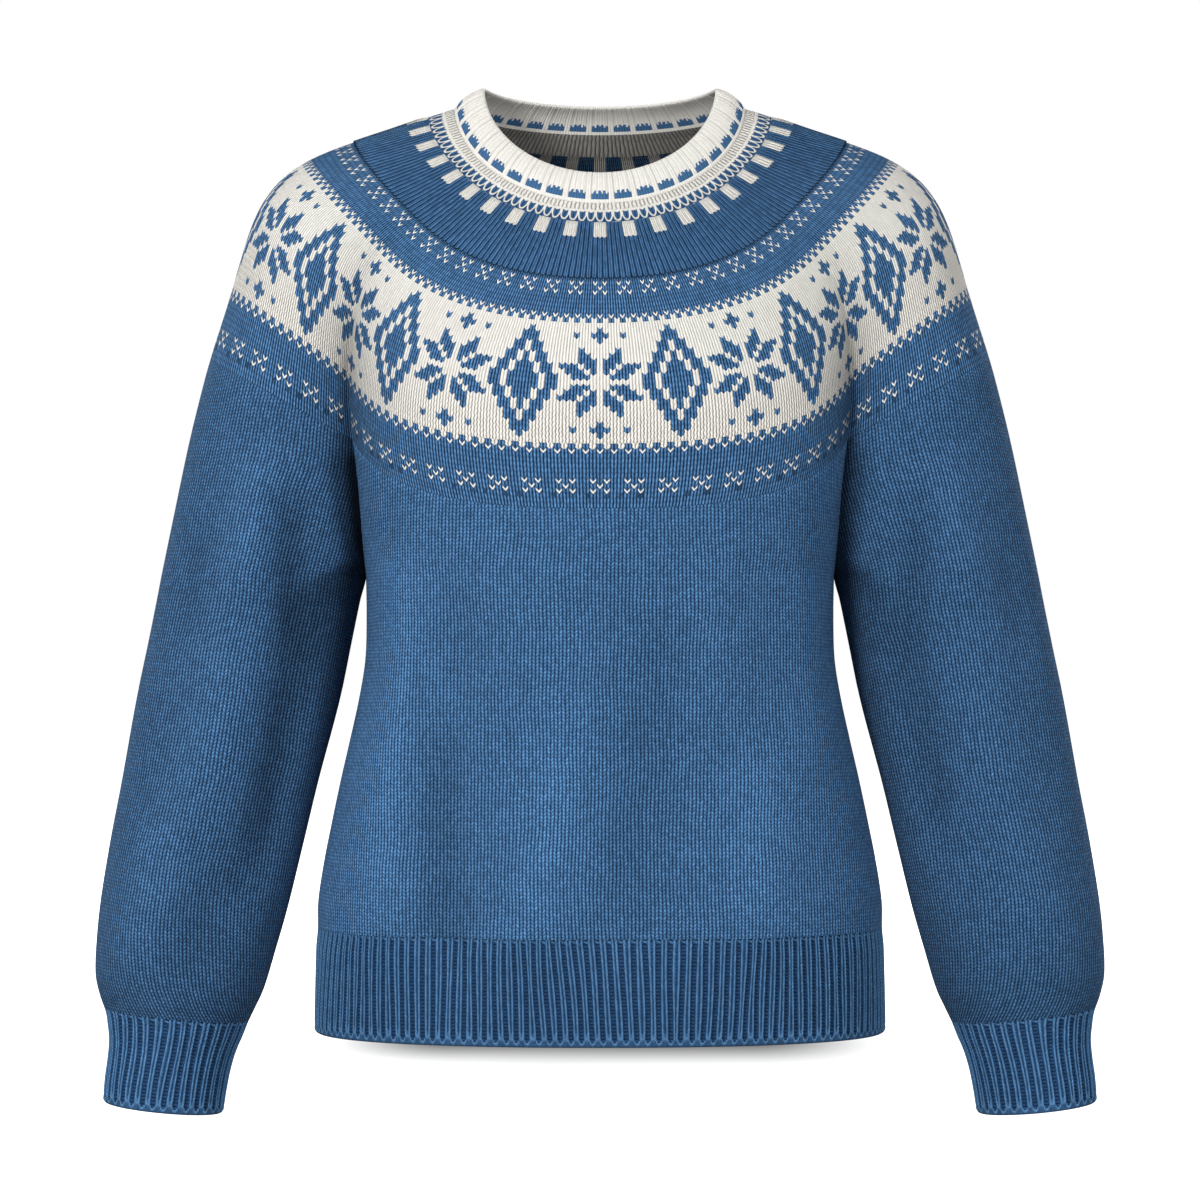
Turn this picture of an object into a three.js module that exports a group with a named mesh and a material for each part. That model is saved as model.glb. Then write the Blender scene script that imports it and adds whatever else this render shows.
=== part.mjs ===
// A round-yoke knitted jumper, held out as if it were worn, with nobody in it.
// Millimetres, +Z up, the front faces -Y, and the origin is in the middle of the neck
// at the height where the shoulder lines meet the neckband.
import * as THREE from 'three';

// Cloth
const WALL = 2.4;
const BAND_WALL = 2.8;
const SEAM_GAP = 0.3;
const RIB_RAISE = 1.3;

// Heights
const UNDERARM_Z = -321;
const CORNER_Z = -229;
const SLEEVE_RING_Z = -172.5;
const FRONT_RING_Z = -277.3;
const BACK_RING_Z = -252;
const HEM_TOP_Z = -563;
const HEM_MID_Z = -605;
const HEM_LOW_Z = -635;
const CUFF_TOP_Z = -622;
const CUFF_LOW_Z = -686.5;

// Armhole: the crease between body and sleeve
const CREASE_Y = 44;
const CREASE_MITRE = 1.7;
const CREASE_LEAN = 0.8;
const CREASE_ANGLES = [66, 43, 21, 0];

// Columns and rows of the meshes
const BODY_COLUMNS = 24;
const SLEEVE_COLUMNS = 20;
const YOKE_ROWS = 10;
const BODY_ROWS_Z = [-563, -522, -478, -432, -388, -352, UNDERARM_Z];
const SLEEVE_ROWS_Z = [CUFF_TOP_Z, -604, -576, -536, -488, -436, -388, -350, UNDERARM_Z];

// Ribs
const HEM_RIBS = 140;
const CUFF_RIBS = 32;
const NECK_RIBS = 108;

// Body section by height: half width, depth to the front, depth to the back
const BODY = [
  { z: -650, wide: 195, front: 114, back: 112 },
  { z: -635, wide: 195.8, front: 115, back: 113 },
  { z: -605, wide: 195.4, front: 115, back: 113 },
  { z: -563, wide: 194.4, front: 114, back: 112 },
  { z: -545, wide: 194.2, front: 114, back: 112 },
  { z: -517, wide: 190, front: 113, back: 110 },
  { z: -490, wide: 184.6, front: 111, back: 108 },
  { z: -462, wide: 178.7, front: 110, back: 106 },
  { z: -435, wide: 172.5, front: 110, back: 105 },
  { z: -407, wide: 166.3, front: 112, back: 106 },
  { z: -380, wide: 161.8, front: 114, back: 107 },
  { z: -352, wide: 160.8, front: 116, back: 109 },
  { z: -321, wide: 161.3, front: 118, back: 111 },
  { z: -290, wide: 162.6, front: 119, back: 112 },
  { z: -255, wide: 165, front: 119, back: 113 },
  { z: -229, wide: 168, front: 118, back: 113 },
  { z: -200, wide: 171, front: 117, back: 113 },
];

// Sleeve outline by height: inner and outer distance from the middle, half depth, centre
const SLEEVE = [
  { z: -700, inner: 260.8, outer: 340.6, deep: 36, middle: -14 },
  { z: -684, inner: 259.3, outer: 340.2, deep: 36, middle: -14 },
  { z: -670, inner: 257.3, outer: 339.2, deep: 36.5, middle: -13.5 },
  { z: -655, inner: 254.3, outer: 337.2, deep: 37, middle: -13 },
  { z: -642, inner: 250.3, outer: 336.4, deep: 38, middle: -12.5 },
  { z: -628, inner: 244, outer: 338.6, deep: 40.5, middle: -12 },
  { z: -614, inner: 237.6, outer: 343.6, deep: 45, middle: -11.5 },
  { z: -600, inner: 231.2, outer: 346.6, deep: 48, middle: -11 },
  { z: -573, inner: 222.9, outer: 345.7, deep: 51, middle: -10 },
  { z: -545, inner: 214.6, outer: 342.9, deep: 53, middle: -9 },
  { z: -504, inner: 204.2, outer: 336.7, deep: 53.5, middle: -7 },
  { z: -462, inner: 193.9, outer: 329.1, deep: 54.5, middle: -5 },
  { z: -407, inner: 179.4, outer: 319.5, deep: 55.5, middle: -3 },
  { z: -366, inner: 171.1, outer: 311.2, deep: 56.5, middle: -1 },
  { z: -338, inner: 165.4, outer: 305.7, deep: 57, middle: 0 },
  { z: -321, inner: 161.3, outer: 302.4, deep: 57.5, middle: 0 },
  { z: -283, inner: 162.8, outer: 294.6, deep: 58, middle: 0 },
  { z: -228, inner: 168, outer: 283, deep: 59, middle: 0 },
  { z: -186, inner: 171, outer: 272.6, deep: 59, middle: 0 },
  { z: -172, inner: 172, outer: 268.6, deep: 59, middle: 0 },
  { z: -159, inner: 172, outer: 265, deep: 59, middle: 0 },
];

// Power of the rounded-box section of the body
const BODY_ROUND = 0.87;

// How far the cuff drops towards the body, per millimetre across
const CUFF_TILT = 0.1;

// Neck seam and top edge of the neckband: side, front and back reach, and their heights
const NECK_SEAM = { side: 100.5, front: 76, back: 62, sideZ: 0, frontZ: -71.6, backZ: -9 };
const NECK_EDGE = { side: 80, front: 62.5, back: 47, sideZ: 14, frontZ: -49, backZ: 8.5 };
const NECK_SOFT = 0.15;
const NECK_BULGE = 2.2;

// Direction in which the yoke leaves the neck seam, at the side, front and back
const LEAVE = { side: [0.965, -0.26], front: [-0.45, -0.89], back: [0.6, -0.8] };
const YOKE_REACH_LOW = 96;
const YOKE_REACH_HIGH = 92;
const SHOULDER_BULGE = 20;

// Large folds: a soft ridge (+) or trough (-) between two points of a panel, in x and z;
// face is -1 on the front and 1 on the back
const BODY_FOLDS = [
  { face: -1, x0: -136, z0: -285, x1: -152, z1: -560, width: 24, raise: 4 },
  { face: -1, x0: -112, z0: -430, x1: -100, z1: -600, width: 22, raise: -4 },
  { face: -1, x0: -8, z0: -400, x1: -52, z1: -590, width: 30, raise: 3 },
  { face: -1, x0: 34, z0: -350, x1: 20, z1: -560, width: 26, raise: -2.5 },
  { face: -1, x0: 112, z0: -440, x1: 104, z1: -570, width: 26, raise: 3 },
  { face: 1, x0: -118, z0: -300, x1: -140, z1: -560, width: 26, raise: 4 },
  { face: 1, x0: -84, z0: -420, x1: -70, z1: -600, width: 24, raise: -3.5 },
  { face: 1, x0: 20, z0: -380, x1: 46, z1: -590, width: 30, raise: 3 },
  { face: 1, x0: 96, z0: -420, x1: 84, z1: -580, width: 24, raise: -3 },
  { face: 1, x0: 132, z0: -300, x1: 148, z1: -560, width: 24, raise: 3.5 },
];
const SLEEVE_FOLDS = [
  { side: -1, turn0: 112, z0: -225, turn1: 96, z1: -390, width: 20, raise: 5 },
  { side: -1, turn0: 62, z0: -300, turn1: 66, z1: -420, width: 18, raise: -5 },
  { side: -1, turn0: 100, z0: -440, turn1: 124, z1: -590, width: 24, raise: 3.5 },
  { side: 1, turn0: 112, z0: -225, turn1: 104, z1: -370, width: 20, raise: 4 },
  { side: 1, turn0: 64, z0: -310, turn1: 70, z1: -430, width: 18, raise: -4.5 },
  { side: 1, turn0: 92, z0: -460, turn1: 112, z1: -590, width: 24, raise: 3 },
  { side: -1, turn0: 250, z0: -250, turn1: 262, z1: -400, width: 22, raise: 4 },
  { side: -1, turn0: 292, z0: -330, turn1: 280, z1: -470, width: 20, raise: -4 },
  { side: 1, turn0: 246, z0: -250, turn1: 256, z1: -400, width: 22, raise: 4 },
  { side: 1, turn0: 290, z0: -320, turn1: 284, z1: -480, width: 20, raise: -4 },
];

const rad = THREE.MathUtils.degToRad;
const lerp = THREE.MathUtils.lerp;
const clamp = THREE.MathUtils.clamp;
const smooth = (x, low, high) => THREE.MathUtils.smoothstep(x, low, high);

// Smooth value of one column of a table at a height
function lookup(table, z, name) {
  const last = table.length - 2;
  let i = 0;
  while (i < last && z > table[i + 1].z) i += 1;
  const a = table[Math.max(i - 1, 0)];
  const b = table[i];
  const c = table[i + 1];
  const d = table[Math.min(i + 2, last + 1)];
  const span = c.z - b.z;
  const t = clamp((z - b.z) / span, 0, 1);
  const slopeIn = (c[name] - a[name]) / Math.max(c.z - a.z, 1e-6);
  const slopeOut = (d[name] - b[name]) / Math.max(d.z - b.z, 1e-6);
  const t2 = t * t;
  const t3 = t2 * t;
  return (2 * t3 - 3 * t2 + 1) * b[name] + (t3 - 2 * t2 + t) * span * slopeIn
    + (3 * t2 - 2 * t3) * c[name] + (t3 - t2) * span * slopeOut;
}

// Evenly spaced points along a fine line, by its length
function respace(line, count) {
  const reach = [0];
  for (let i = 1; i < line.length; i += 1) reach.push(reach[i - 1] + line[i].distanceTo(line[i - 1]));
  const total = reach[reach.length - 1];
  const out = [];
  let i = 1;
  for (let k = 0; k <= count; k += 1) {
    const want = (total * k) / count;
    while (i < line.length - 1 && reach[i] < want) i += 1;
    const t = clamp((want - reach[i - 1]) / (reach[i] - reach[i - 1]), 0, 1);
    out.push(line[i - 1].clone().lerp(line[i], t));
  }
  return out;
}

// Height of one soft ridge or trough at a place on its panel
function foldAt(across, z, fold, across0, across1) {
  const dx = across1 - across0;
  const dz = fold.z1 - fold.z0;
  const t = clamp(((across - across0) * dx + (z - fold.z0) * dz) / (dx * dx + dz * dz), -0.3, 1.3);
  const off = Math.hypot(across - across0 - t * dx, (z - fold.z0 - t * dz) * 0.6) / fold.width;
  const ends = smooth(t, -0.3, 0.25) * (1 - smooth(t, 0.75, 1.3));
  return fold.raise * ends * Math.exp(-off * off);
}

// Half a body section, from the left edge to the right edge; level runs 0 to 1 above the
// underarm, where the crease cuts the section off at edgeY
function bodyLine(face, z, level, edgeY, count) {
  const depthName = face < 0 ? 'front' : 'back';
  const ringZ = face < 0 ? FRONT_RING_Z : BACK_RING_Z;
  const edgeZ = level > 0 ? lerp(UNDERARM_Z, CORNER_Z, level) : z;
  const wide = lookup(BODY, edgeZ, 'wide');
  const cut = Math.asin((edgeY / lookup(BODY, edgeZ, depthName)) ** (1 / BODY_ROUND));
  const line = [];
  for (let k = 0; k <= 160; k += 1) {
    const angle = lerp(Math.PI - cut, cut, k / 160);
    const c = Math.cos(angle) / Math.cos(cut);
    const s = Math.max(Math.sin(angle), 0);
    const toEdge = Math.abs(1 - (2 * k) / 160);
    const height = level > 0 ? lerp(UNDERARM_Z, lerp(ringZ, CORNER_Z, toEdge ** 2.3), level) : z;
    const x = wide * Math.sign(c) * Math.abs(c) ** BODY_ROUND;
    const window = smooth(s, 0.1, 0.55) * (1 - smooth(height, -330, -285));
    const raise = BODY_FOLDS.filter((f) => f.face === face)
      .reduce((sum, f) => sum + foldAt(x, height, f, f.x0, f.x1), 0) * window;
    const y = lookup(BODY, height, depthName) * s ** BODY_ROUND + raise;
    line.push(new THREE.Vector3(x, face * y, height));
  }
  if (face > 0) line.reverse();
  return respace(line, count);
}

// One section of a sleeve, from the crease or inner line round the outside and back
function sleeveLine(side, z, level, edgeY, count) {
  const innerZ = level > 0 ? lerp(UNDERARM_Z, CORNER_Z, level) : z;
  const outerZ = level > 0 ? lerp(UNDERARM_Z, SLEEVE_RING_Z, level) : z;
  const tilt = CUFF_TILT * (1 - smooth(z, CUFF_TOP_Z, -450));
  const inner = level > 0 ? lookup(BODY, innerZ, 'wide') : lookup(SLEEVE, innerZ, 'inner');
  const outer = lookup(SLEEVE, outerZ, 'outer');
  const deep = lookup(SLEEVE, innerZ, 'deep');
  const middleY = lookup(SLEEVE, innerZ, 'middle');
  const open = Math.asin(clamp(edgeY / deep, 0, 1));
  const half = (outer - inner) / (1 + Math.cos(open));
  const centre = outer - half;
  const line = [];
  for (let k = 0; k <= 160; k += 1) {
    const turn = lerp(open, 2 * Math.PI - open, k / 160);
    const across = centre - half * Math.cos(turn);
    const rise = level > 0 ? (outerZ - innerZ) * ((across - inner) / (outer - inner)) : 0;
    const lean = level > 0 ? 0 : tilt * (across - centre);
    const height = (level > 0 ? innerZ : z) + rise + lean;
    const fromInner = (side < 0 ? 2 * Math.PI - turn : turn) * (180 / Math.PI);
    const free = smooth(Math.min(k, 160 - k), 4, 24);
    const window = free * (1 - smooth(height, -265, -215)) * smooth(z, -622, -600);
    const raise = SLEEVE_FOLDS.filter((f) => f.side === side)
      .reduce((sum, f) => sum + foldAt(fromInner, height, f, f.turn0, f.turn1), 0) * window;
    const x = centre - (half + raise) * Math.cos(turn);
    const y = -(deep + raise) * Math.sin(turn);
    line.push(new THREE.Vector3(side * x, middleY + side * y, height));
  }
  return respace(line, count);
}

// Point on an oval ring of the neck; turn is 0 at the front and grows towards +X
function neckPoint(ring, turn) {
  const c = Math.cos(turn);
  const soft = Math.sqrt(c * c + NECK_SOFT * NECK_SOFT) - NECK_SOFT;
  const full = Math.sqrt(1 + NECK_SOFT * NECK_SOFT) - NECK_SOFT;
  const even = (ring.sideZ - ring.frontZ - (ring.sideZ - ring.backZ)) / 2;
  const drop = (ring.sideZ - ring.frontZ + (ring.sideZ - ring.backZ)) / 2 / full;
  const reach = c > 0 ? ring.front : ring.back;
  return new THREE.Vector3(
    ring.side * Math.sin(turn),
    -reach * c,
    ring.sideZ - even * c - drop * soft,
  );
}

// Unit direction in which the yoke leaves the neck
function leaveDirection(turn) {
  const s = Math.sin(turn);
  const c = Math.cos(turn);
  const ahead = c > 0 ? LEAVE.front : LEAVE.back;
  const flat = s * s;
  const x = Math.sign(s) * flat ** 0.5 * LEAVE.side[0];
  const y = Math.abs(c) * ahead[0];
  const z = lerp(ahead[1], LEAVE.side[1], flat);
  return new THREE.Vector3(x, y, z).normalize();
}

// Turn of the neck ring at a share of its length, counted from the front
function neckTurns() {
  const reach = [0];
  const steps = 720;
  for (let k = 1; k <= steps; k += 1) {
    const a = neckPoint(NECK_SEAM, ((k - 1) * 2 * Math.PI) / steps);
    const b = neckPoint(NECK_SEAM, (k * 2 * Math.PI) / steps);
    reach.push(reach[k - 1] + a.distanceTo(b));
  }
  return (share) => {
    const want = ((share % 1) + 1) % 1 * reach[steps];
    let k = 1;
    while (k < steps && reach[k] < want) k += 1;
    const t = (want - reach[k - 1]) / (reach[k] - reach[k - 1]);
    return ((k - 1 + t) * 2 * Math.PI) / steps;
  };
}

// Outward normal and across-seam direction at the neck seam
function neckSeamFrame(turn) {
  const step = 0.01;
  const along = neckPoint(NECK_SEAM, turn + step).sub(neckPoint(NECK_SEAM, turn - step)).normalize();
  const up = neckPoint(NECK_EDGE, turn).sub(neckPoint(NECK_SEAM, turn)).normalize();
  const across = up.clone().sub(leaveDirection(turn)).normalize();
  const normal = along.clone().cross(across).normalize();
  return { across, normal };
}

// Levels above the underarm, as a share of the way to the yoke
function creaseLevels() {
  return CREASE_ANGLES.map((degrees) => {
    const s = Math.sin(rad(degrees));
    const c = Math.cos(rad(degrees));
    const fall = CREASE_Y;
    const run = CORNER_Z - UNDERARM_Z;
    return { level: 1 - s, edgeY: CREASE_Y * c, normal: new THREE.Vector3(0, run * c, fall * s).normalize() };
  });
}

// Front (-1) or back (+1) panel as rows of points
function panelRows(face) {
  const rows = BODY_ROWS_Z.map((z) => bodyLine(face, z, 0, 0, BODY_COLUMNS));
  creaseLevels().forEach((c) => rows.push(bodyLine(face, 0, c.level, c.edgeY, BODY_COLUMNS)));
  return rows;
}

function sleeveRows(side) {
  const rows = SLEEVE_ROWS_Z.map((z) => sleeveLine(side, z, 0, 0, SLEEVE_COLUMNS));
  creaseLevels().forEach((c) => rows.push(sleeveLine(side, UNDERARM_Z, c.level, c.edgeY, SLEEVE_COLUMNS)));
  return rows;
}

// The ring where the yoke ends below, and the direction in which the cloth rises through it
function yokeRing() {
  const near = 0.93;
  const edgeNear = CREASE_Y * Math.sqrt(1 - (1 - near) ** 2);
  const top = [];
  const below = [];
  const add = (line, under) => {
    line.slice(0, -1).forEach((p) => top.push(p));
    under.slice(0, -1).forEach((p) => below.push(p));
  };
  add(bodyLine(-1, 0, 1, CREASE_Y, BODY_COLUMNS), bodyLine(-1, 0, near, edgeNear, BODY_COLUMNS));
  add(sleeveLine(1, UNDERARM_Z, 1, CREASE_Y, SLEEVE_COLUMNS), sleeveLine(1, UNDERARM_Z, near, edgeNear, SLEEVE_COLUMNS));
  add(bodyLine(1, 0, 1, CREASE_Y, BODY_COLUMNS), bodyLine(1, 0, near, edgeNear, BODY_COLUMNS));
  add(sleeveLine(-1, UNDERARM_Z, 1, CREASE_Y, SLEEVE_COLUMNS), sleeveLine(-1, UNDERARM_Z, near, edgeNear, SLEEVE_COLUMNS));
  const rise = top.map((p, j) => p.clone().sub(below[j]).normalize());
  return { top, rise };
}

// Share of the ring's length at each of its points, counted from the front middle
function ringShares(top) {
  const reach = [0];
  const count = top.length;
  for (let j = 1; j <= count; j += 1) reach.push(reach[j - 1] + top[j % count].distanceTo(top[j - 1]));
  const start = reach[BODY_COLUMNS / 2];
  return top.map((p, j) => (reach[j] - start) / reach[count]);
}

// One column of the yoke, from its lower ring up to the neck seam
function yokeColumn(low, rise, turn) {
  const high = neckPoint(NECK_SEAM, turn);
  const leave = leaveDirection(turn);
  const sideways = Math.abs(Math.sin(turn)) ** 3;
  const p1 = low.clone().addScaledVector(rise, YOKE_REACH_LOW);
  const p2 = high.clone().addScaledVector(leave, YOKE_REACH_HIGH);
  const curve = new THREE.CubicBezierCurve3(low, p1, p2, high);
  const outward = new THREE.Vector3(Math.sin(turn), -Math.cos(turn) * 0.4, 0.9).normalize();
  const line = [];
  for (let k = 0; k <= 60; k += 1) {
    const t = k / 60;
    const swell = SHOULDER_BULGE * sideways * Math.sin(Math.PI * t) ** 3;
    line.push(curve.getPoint(t).addScaledVector(outward, swell));
  }
  return respace(line, YOKE_ROWS);
}

function yokeRows() {
  const ring = yokeRing();
  const shares = ringShares(ring.top);
  const turnAt = neckTurns();
  const turns = shares.map((share) => turnAt(share));
  const columns = ring.top.map((p, j) => yokeColumn(p, ring.rise[j], turns[j]));
  const rows = [];
  for (let i = 0; i <= YOKE_ROWS; i += 1) rows.push(columns.map((c) => c[i].clone()));
  return { rows, turns };
}

// Area-weighted normals of a sheet of rows; wrapAt says if a row closes on itself
function sheetNormals(rows, wrapAt) {
  const normals = rows.map((row) => row.map(() => new THREE.Vector3()));
  for (let i = 0; i + 1 < rows.length; i += 1) {
    const last = rows[i].length - (wrapAt(i) === 'ring' ? 0 : 1);
    for (let j = 0; j < last; j += 1) {
      const k = (j + 1) % rows[i].length;
      const a = rows[i + 1][k].clone().sub(rows[i][j]);
      const b = rows[i + 1][j].clone().sub(rows[i][k]);
      const n = a.cross(b);
      [[i, j], [i, k], [i + 1, k], [i + 1, j]].forEach(([r, c]) => normals[r][c].add(n));
    }
  }
  return normals;
}

const placeKey = (p) => [p.x, p.y, p.z].map((v) => Math.round(v * 20)).join(' ');

// Adds up the normals of every sheet at the points that they share
function shareNormals(sheets) {
  const sums = new Map();
  sheets.forEach((sheet) => {
    sheet.normals = sheetNormals(sheet.rows, sheet.wrapAt);
    sheet.rows.forEach((row, i) => row.forEach((p, j) => {
      const key = placeKey(p);
      if (!sums.has(key)) sums.set(key, new THREE.Vector3());
      sums.get(key).add(sheet.normals[i][j]);
    }));
  });
  sheets.forEach((sheet) => {
    sheet.rows.forEach((row, i) => row.forEach((p, j) => {
      sheet.normals[i][j] = sums.get(placeKey(p)).clone().normalize();
    }));
  });
}

// The sheets with their seam normals and the small shifts that keep them apart
function makeSheets() {
  const none = () => 'open';
  const underarmRow = SLEEVE_ROWS_Z.length - 1;
  const tube = (i) => (i <= underarmRow ? 'seam' : 'open');
  const yoke = yokeRows();
  const sheets = {
    front: { rows: panelRows(-1), wrapAt: none },
    back: { rows: panelRows(1), wrapAt: none },
    sleeve_left: { rows: sleeveRows(-1), wrapAt: tube },
    sleeve_right: { rows: sleeveRows(1), wrapAt: tube },
    yoke: { rows: yoke.rows, wrapAt: () => 'ring' },
  };
  shareNormals(Object.values(sheets));
  Object.values(sheets).forEach((sheet) => {
    sheet.shift = sheet.rows.map((row) => row.map(() => new THREE.Vector3()));
  });
  setCrease(sheets);
  setHem(sheets);
  setCuffs(sheets);
  setYokeRing(sheets);
  setNeckSeam(sheets.yoke, yoke.turns);
  return sheets;
}

// The crease: one inward direction for body, sleeve and yoke, and a gap along X
function setCrease(sheets) {
  const body = BODY_ROWS_Z.length - 1;
  const arm = SLEEVE_ROWS_Z.length - 1;
  const levels = creaseLevels();
  const places = [{ level: 0, normal: new THREE.Vector3(0, 0, 1) }, ...levels];
  places.forEach((place, k) => {
    const inward = (side, face) => new THREE.Vector3(
      side * CREASE_LEAN * place.level,
      face * CREASE_MITRE * place.normal.y,
      -CREASE_MITRE * place.normal.z,
    );
    sheets.front.normals[body + k][0] = inward(-1, -1);
    sheets.front.normals[body + k][BODY_COLUMNS] = inward(1, -1);
    sheets.back.normals[body + k][0] = inward(1, 1);
    sheets.back.normals[body + k][BODY_COLUMNS] = inward(-1, 1);
    sheets.sleeve_right.normals[arm + k][0] = inward(1, -1);
    sheets.sleeve_right.normals[arm + k][SLEEVE_COLUMNS] = inward(1, 1);
    sheets.sleeve_left.normals[arm + k][0] = inward(-1, 1);
    sheets.sleeve_left.normals[arm + k][SLEEVE_COLUMNS] = inward(-1, -1);
    const gap = SEAM_GAP / 2;
    sheets.front.shift[body + k][0].x += gap;
    sheets.front.shift[body + k][BODY_COLUMNS].x -= gap;
    sheets.back.shift[body + k][0].x -= gap;
    sheets.back.shift[body + k][BODY_COLUMNS].x += gap;
    [0, SLEEVE_COLUMNS].forEach((j) => {
      sheets.sleeve_left.shift[arm + k][j].x -= gap;
      sheets.sleeve_right.shift[arm + k][j].x += gap;
    });
  });
  const corners = [
    { column: 0, side: -1, face: -1 },
    { column: BODY_COLUMNS, side: 1, face: -1 },
    { column: BODY_COLUMNS + SLEEVE_COLUMNS, side: 1, face: 1 },
    { column: 2 * BODY_COLUMNS + SLEEVE_COLUMNS, side: -1, face: 1 },
  ];
  corners.forEach(({ column, side, face }) => {
    sheets.yoke.normals[0][column] = new THREE.Vector3(side * CREASE_LEAN, face * CREASE_MITRE, 0);
  });
}

// Side seams of the body and the flat lower edge above the hem rib
function setHem(sheets) {
  [[sheets.front, -1], [sheets.back, 1]].forEach(([sheet, face]) => {
    for (let i = 0; i < BODY_ROWS_Z.length; i += 1) {
      sheet.shift[i][0].y += (face * SEAM_GAP) / 2;
      sheet.shift[i][BODY_COLUMNS].y += (face * SEAM_GAP) / 2;
    }
    sheet.normals[0].forEach((n, j) => {
      n.z = 0;
      n.normalize();
      sheet.shift[0][j].z += SEAM_GAP / 2;
    });
  });
}

// The tilted flat edge above each cuff
function setCuffs(sheets) {
  [[sheets.sleeve_left, -1], [sheets.sleeve_right, 1]].forEach(([sheet, side]) => {
    const plane = new THREE.Vector3(-side * CUFF_TILT, 0, 1).normalize();
    sheet.normals[0].forEach((n, j) => {
      n.addScaledVector(plane, -n.dot(plane)).normalize();
      sheet.shift[0][j].addScaledVector(plane, SEAM_GAP / 2);
    });
  });
}

function setYokeRing(sheets) {
  ['front', 'back', 'sleeve_left', 'sleeve_right'].forEach((name) => {
    const sheet = sheets[name];
    sheet.shift[sheet.rows.length - 1].forEach((s) => { s.z -= SEAM_GAP / 2; });
  });
  sheets.yoke.shift[0].forEach((s) => { s.z += SEAM_GAP / 2; });
}

function setNeckSeam(yoke, turns) {
  turns.forEach((turn, j) => {
    const frame = neckSeamFrame(turn);
    yoke.normals[YOKE_ROWS][j] = frame.normal;
    yoke.shift[YOKE_ROWS][j].addScaledVector(frame.across, -SEAM_GAP / 2);
  });
}

// A closed wall from a sheet: the outside, the inside and the edges between
function wallGeometry(sheet) {
  const spots = [];
  const faces = [];
  const index = sheet.rows.map((row, i) => row.map((p, j) => {
    if (sheet.wrapAt(i) === 'seam' && j === row.length - 1) return null;
    const outer = p.clone().add(sheet.shift[i][j]);
    const inner = outer.clone().addScaledVector(sheet.normals[i][j], -WALL);
    spots.push(outer, inner);
    return spots.length - 2;
  }));
  index.forEach((row) => {
    if (row[row.length - 1] === null) row[row.length - 1] = row[0];
  });
  const cell = (a, b, c, d) => faces.push([a, b, c], [a, c, d]);
  const crossCell = (a, b, c, d) => faces.push([a, b, d], [b, c, d]);
  const high = index.length - 1;
  for (let i = 0; i < high; i += 1) {
    const low = index[i];
    const up = index[i + 1];
    const cells = sheet.wrapAt(i) === 'ring' ? low.length : low.length - 1;
    for (let j = 0; j < cells; j += 1) {
      const k = (j + 1) % low.length;
      cell(low[j], low[k], up[k], up[j]);
      cell(low[k] + 1, low[j] + 1, up[j] + 1, up[k] + 1);
    }
    const end = low.length - 1;
    if (sheet.wrapAt(i) === 'open' || (sheet.wrapAt(i) === 'seam' && sheet.wrapAt(i + 1) === 'open')) {
      crossCell(low[0] + 1, low[0], up[0], up[0] + 1);
      cell(low[end], low[end] + 1, up[end] + 1, up[end]);
    }
  }
  [[index[0], false], [index[high], true]].forEach(([row, top]) => {
    const cells = sheet.wrapAt(0) === 'ring' ? row.length : row.length - 1;
    for (let j = 0; j < cells; j += 1) {
      const k = (j + 1) % row.length;
      if (top) cell(row[j], row[k], row[k] + 1, row[j] + 1);
      else crossCell(row[k], row[j], row[j] + 1, row[k] + 1);
    }
  });
  return toGeometry(spots, faces);
}

function toGeometry(spots, faces) {
  const geometry = new THREE.BufferGeometry();
  const flat = new Float32Array(spots.length * 3);
  spots.forEach((p, i) => p.toArray(flat, 3 * i));
  geometry.setAttribute('position', new THREE.BufferAttribute(flat, 3));
  geometry.setIndex(faces.flat());
  return geometry;
}

// A closed ribbed ring: fine raised ribs outside and a plainer wall inside.
// place(share, level, depth) gives a point; depth is how far it lies outside the base wall
function ribGeometry({ ribs, points, every, levels, wall, raise, place }) {
  const count = ribs * points;
  const spots = [];
  const faces = [];
  const outer = levels.map((level) => {
    const ring = [];
    for (let k = 0; k < count; k += 1) {
      const phase = (k % points) / points;
      const height = points === 2 ? (phase === 0 ? 1 : 0) : Math.max(0, Math.cos(2 * Math.PI * phase));
      spots.push(place(k / count, level, raise * height));
      ring.push(spots.length - 1);
    }
    return ring;
  });
  const inner = levels.map((level) => {
    const ring = [];
    for (let k = 0; k < count / every; k += 1) {
      spots.push(place((k * every) / count, level, -wall));
      ring.push(spots.length - 1);
    }
    return ring;
  });
  const small = count / every;
  for (let i = 0; i + 1 < levels.length; i += 1) {
    for (let k = 0; k < count; k += 1) {
      const n = (k + 1) % count;
      faces.push([outer[i][k], outer[i][n], outer[i + 1][n]], [outer[i][k], outer[i + 1][n], outer[i + 1][k]]);
    }
    for (let k = 0; k < small; k += 1) {
      const n = (k + 1) % small;
      faces.push([inner[i][n], inner[i][k], inner[i + 1][k]], [inner[i][n], inner[i + 1][k], inner[i + 1][n]]);
    }
  }
  [[0, false], [levels.length - 1, true]].forEach(([i, top]) => {
    for (let k = 0; k < small; k += 1) {
      const n = (k + 1) % small;
      const fan = [];
      for (let m = 0; m < every; m += 1) {
        const a = outer[i][k * every + m];
        const b = outer[i][(k * every + m + 1) % count];
        fan.push([m < every / 2 ? inner[i][k] : inner[i][n], a, b]);
      }
      const half = outer[i][k * every + every / 2];
      fan.push([inner[i][k], half, inner[i][n]]);
      fan.forEach(([a, b, c]) => faces.push(top ? [a, b, c] : [a, c, b]));
    }
  });
  return toGeometry(spots, faces);
}

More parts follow.
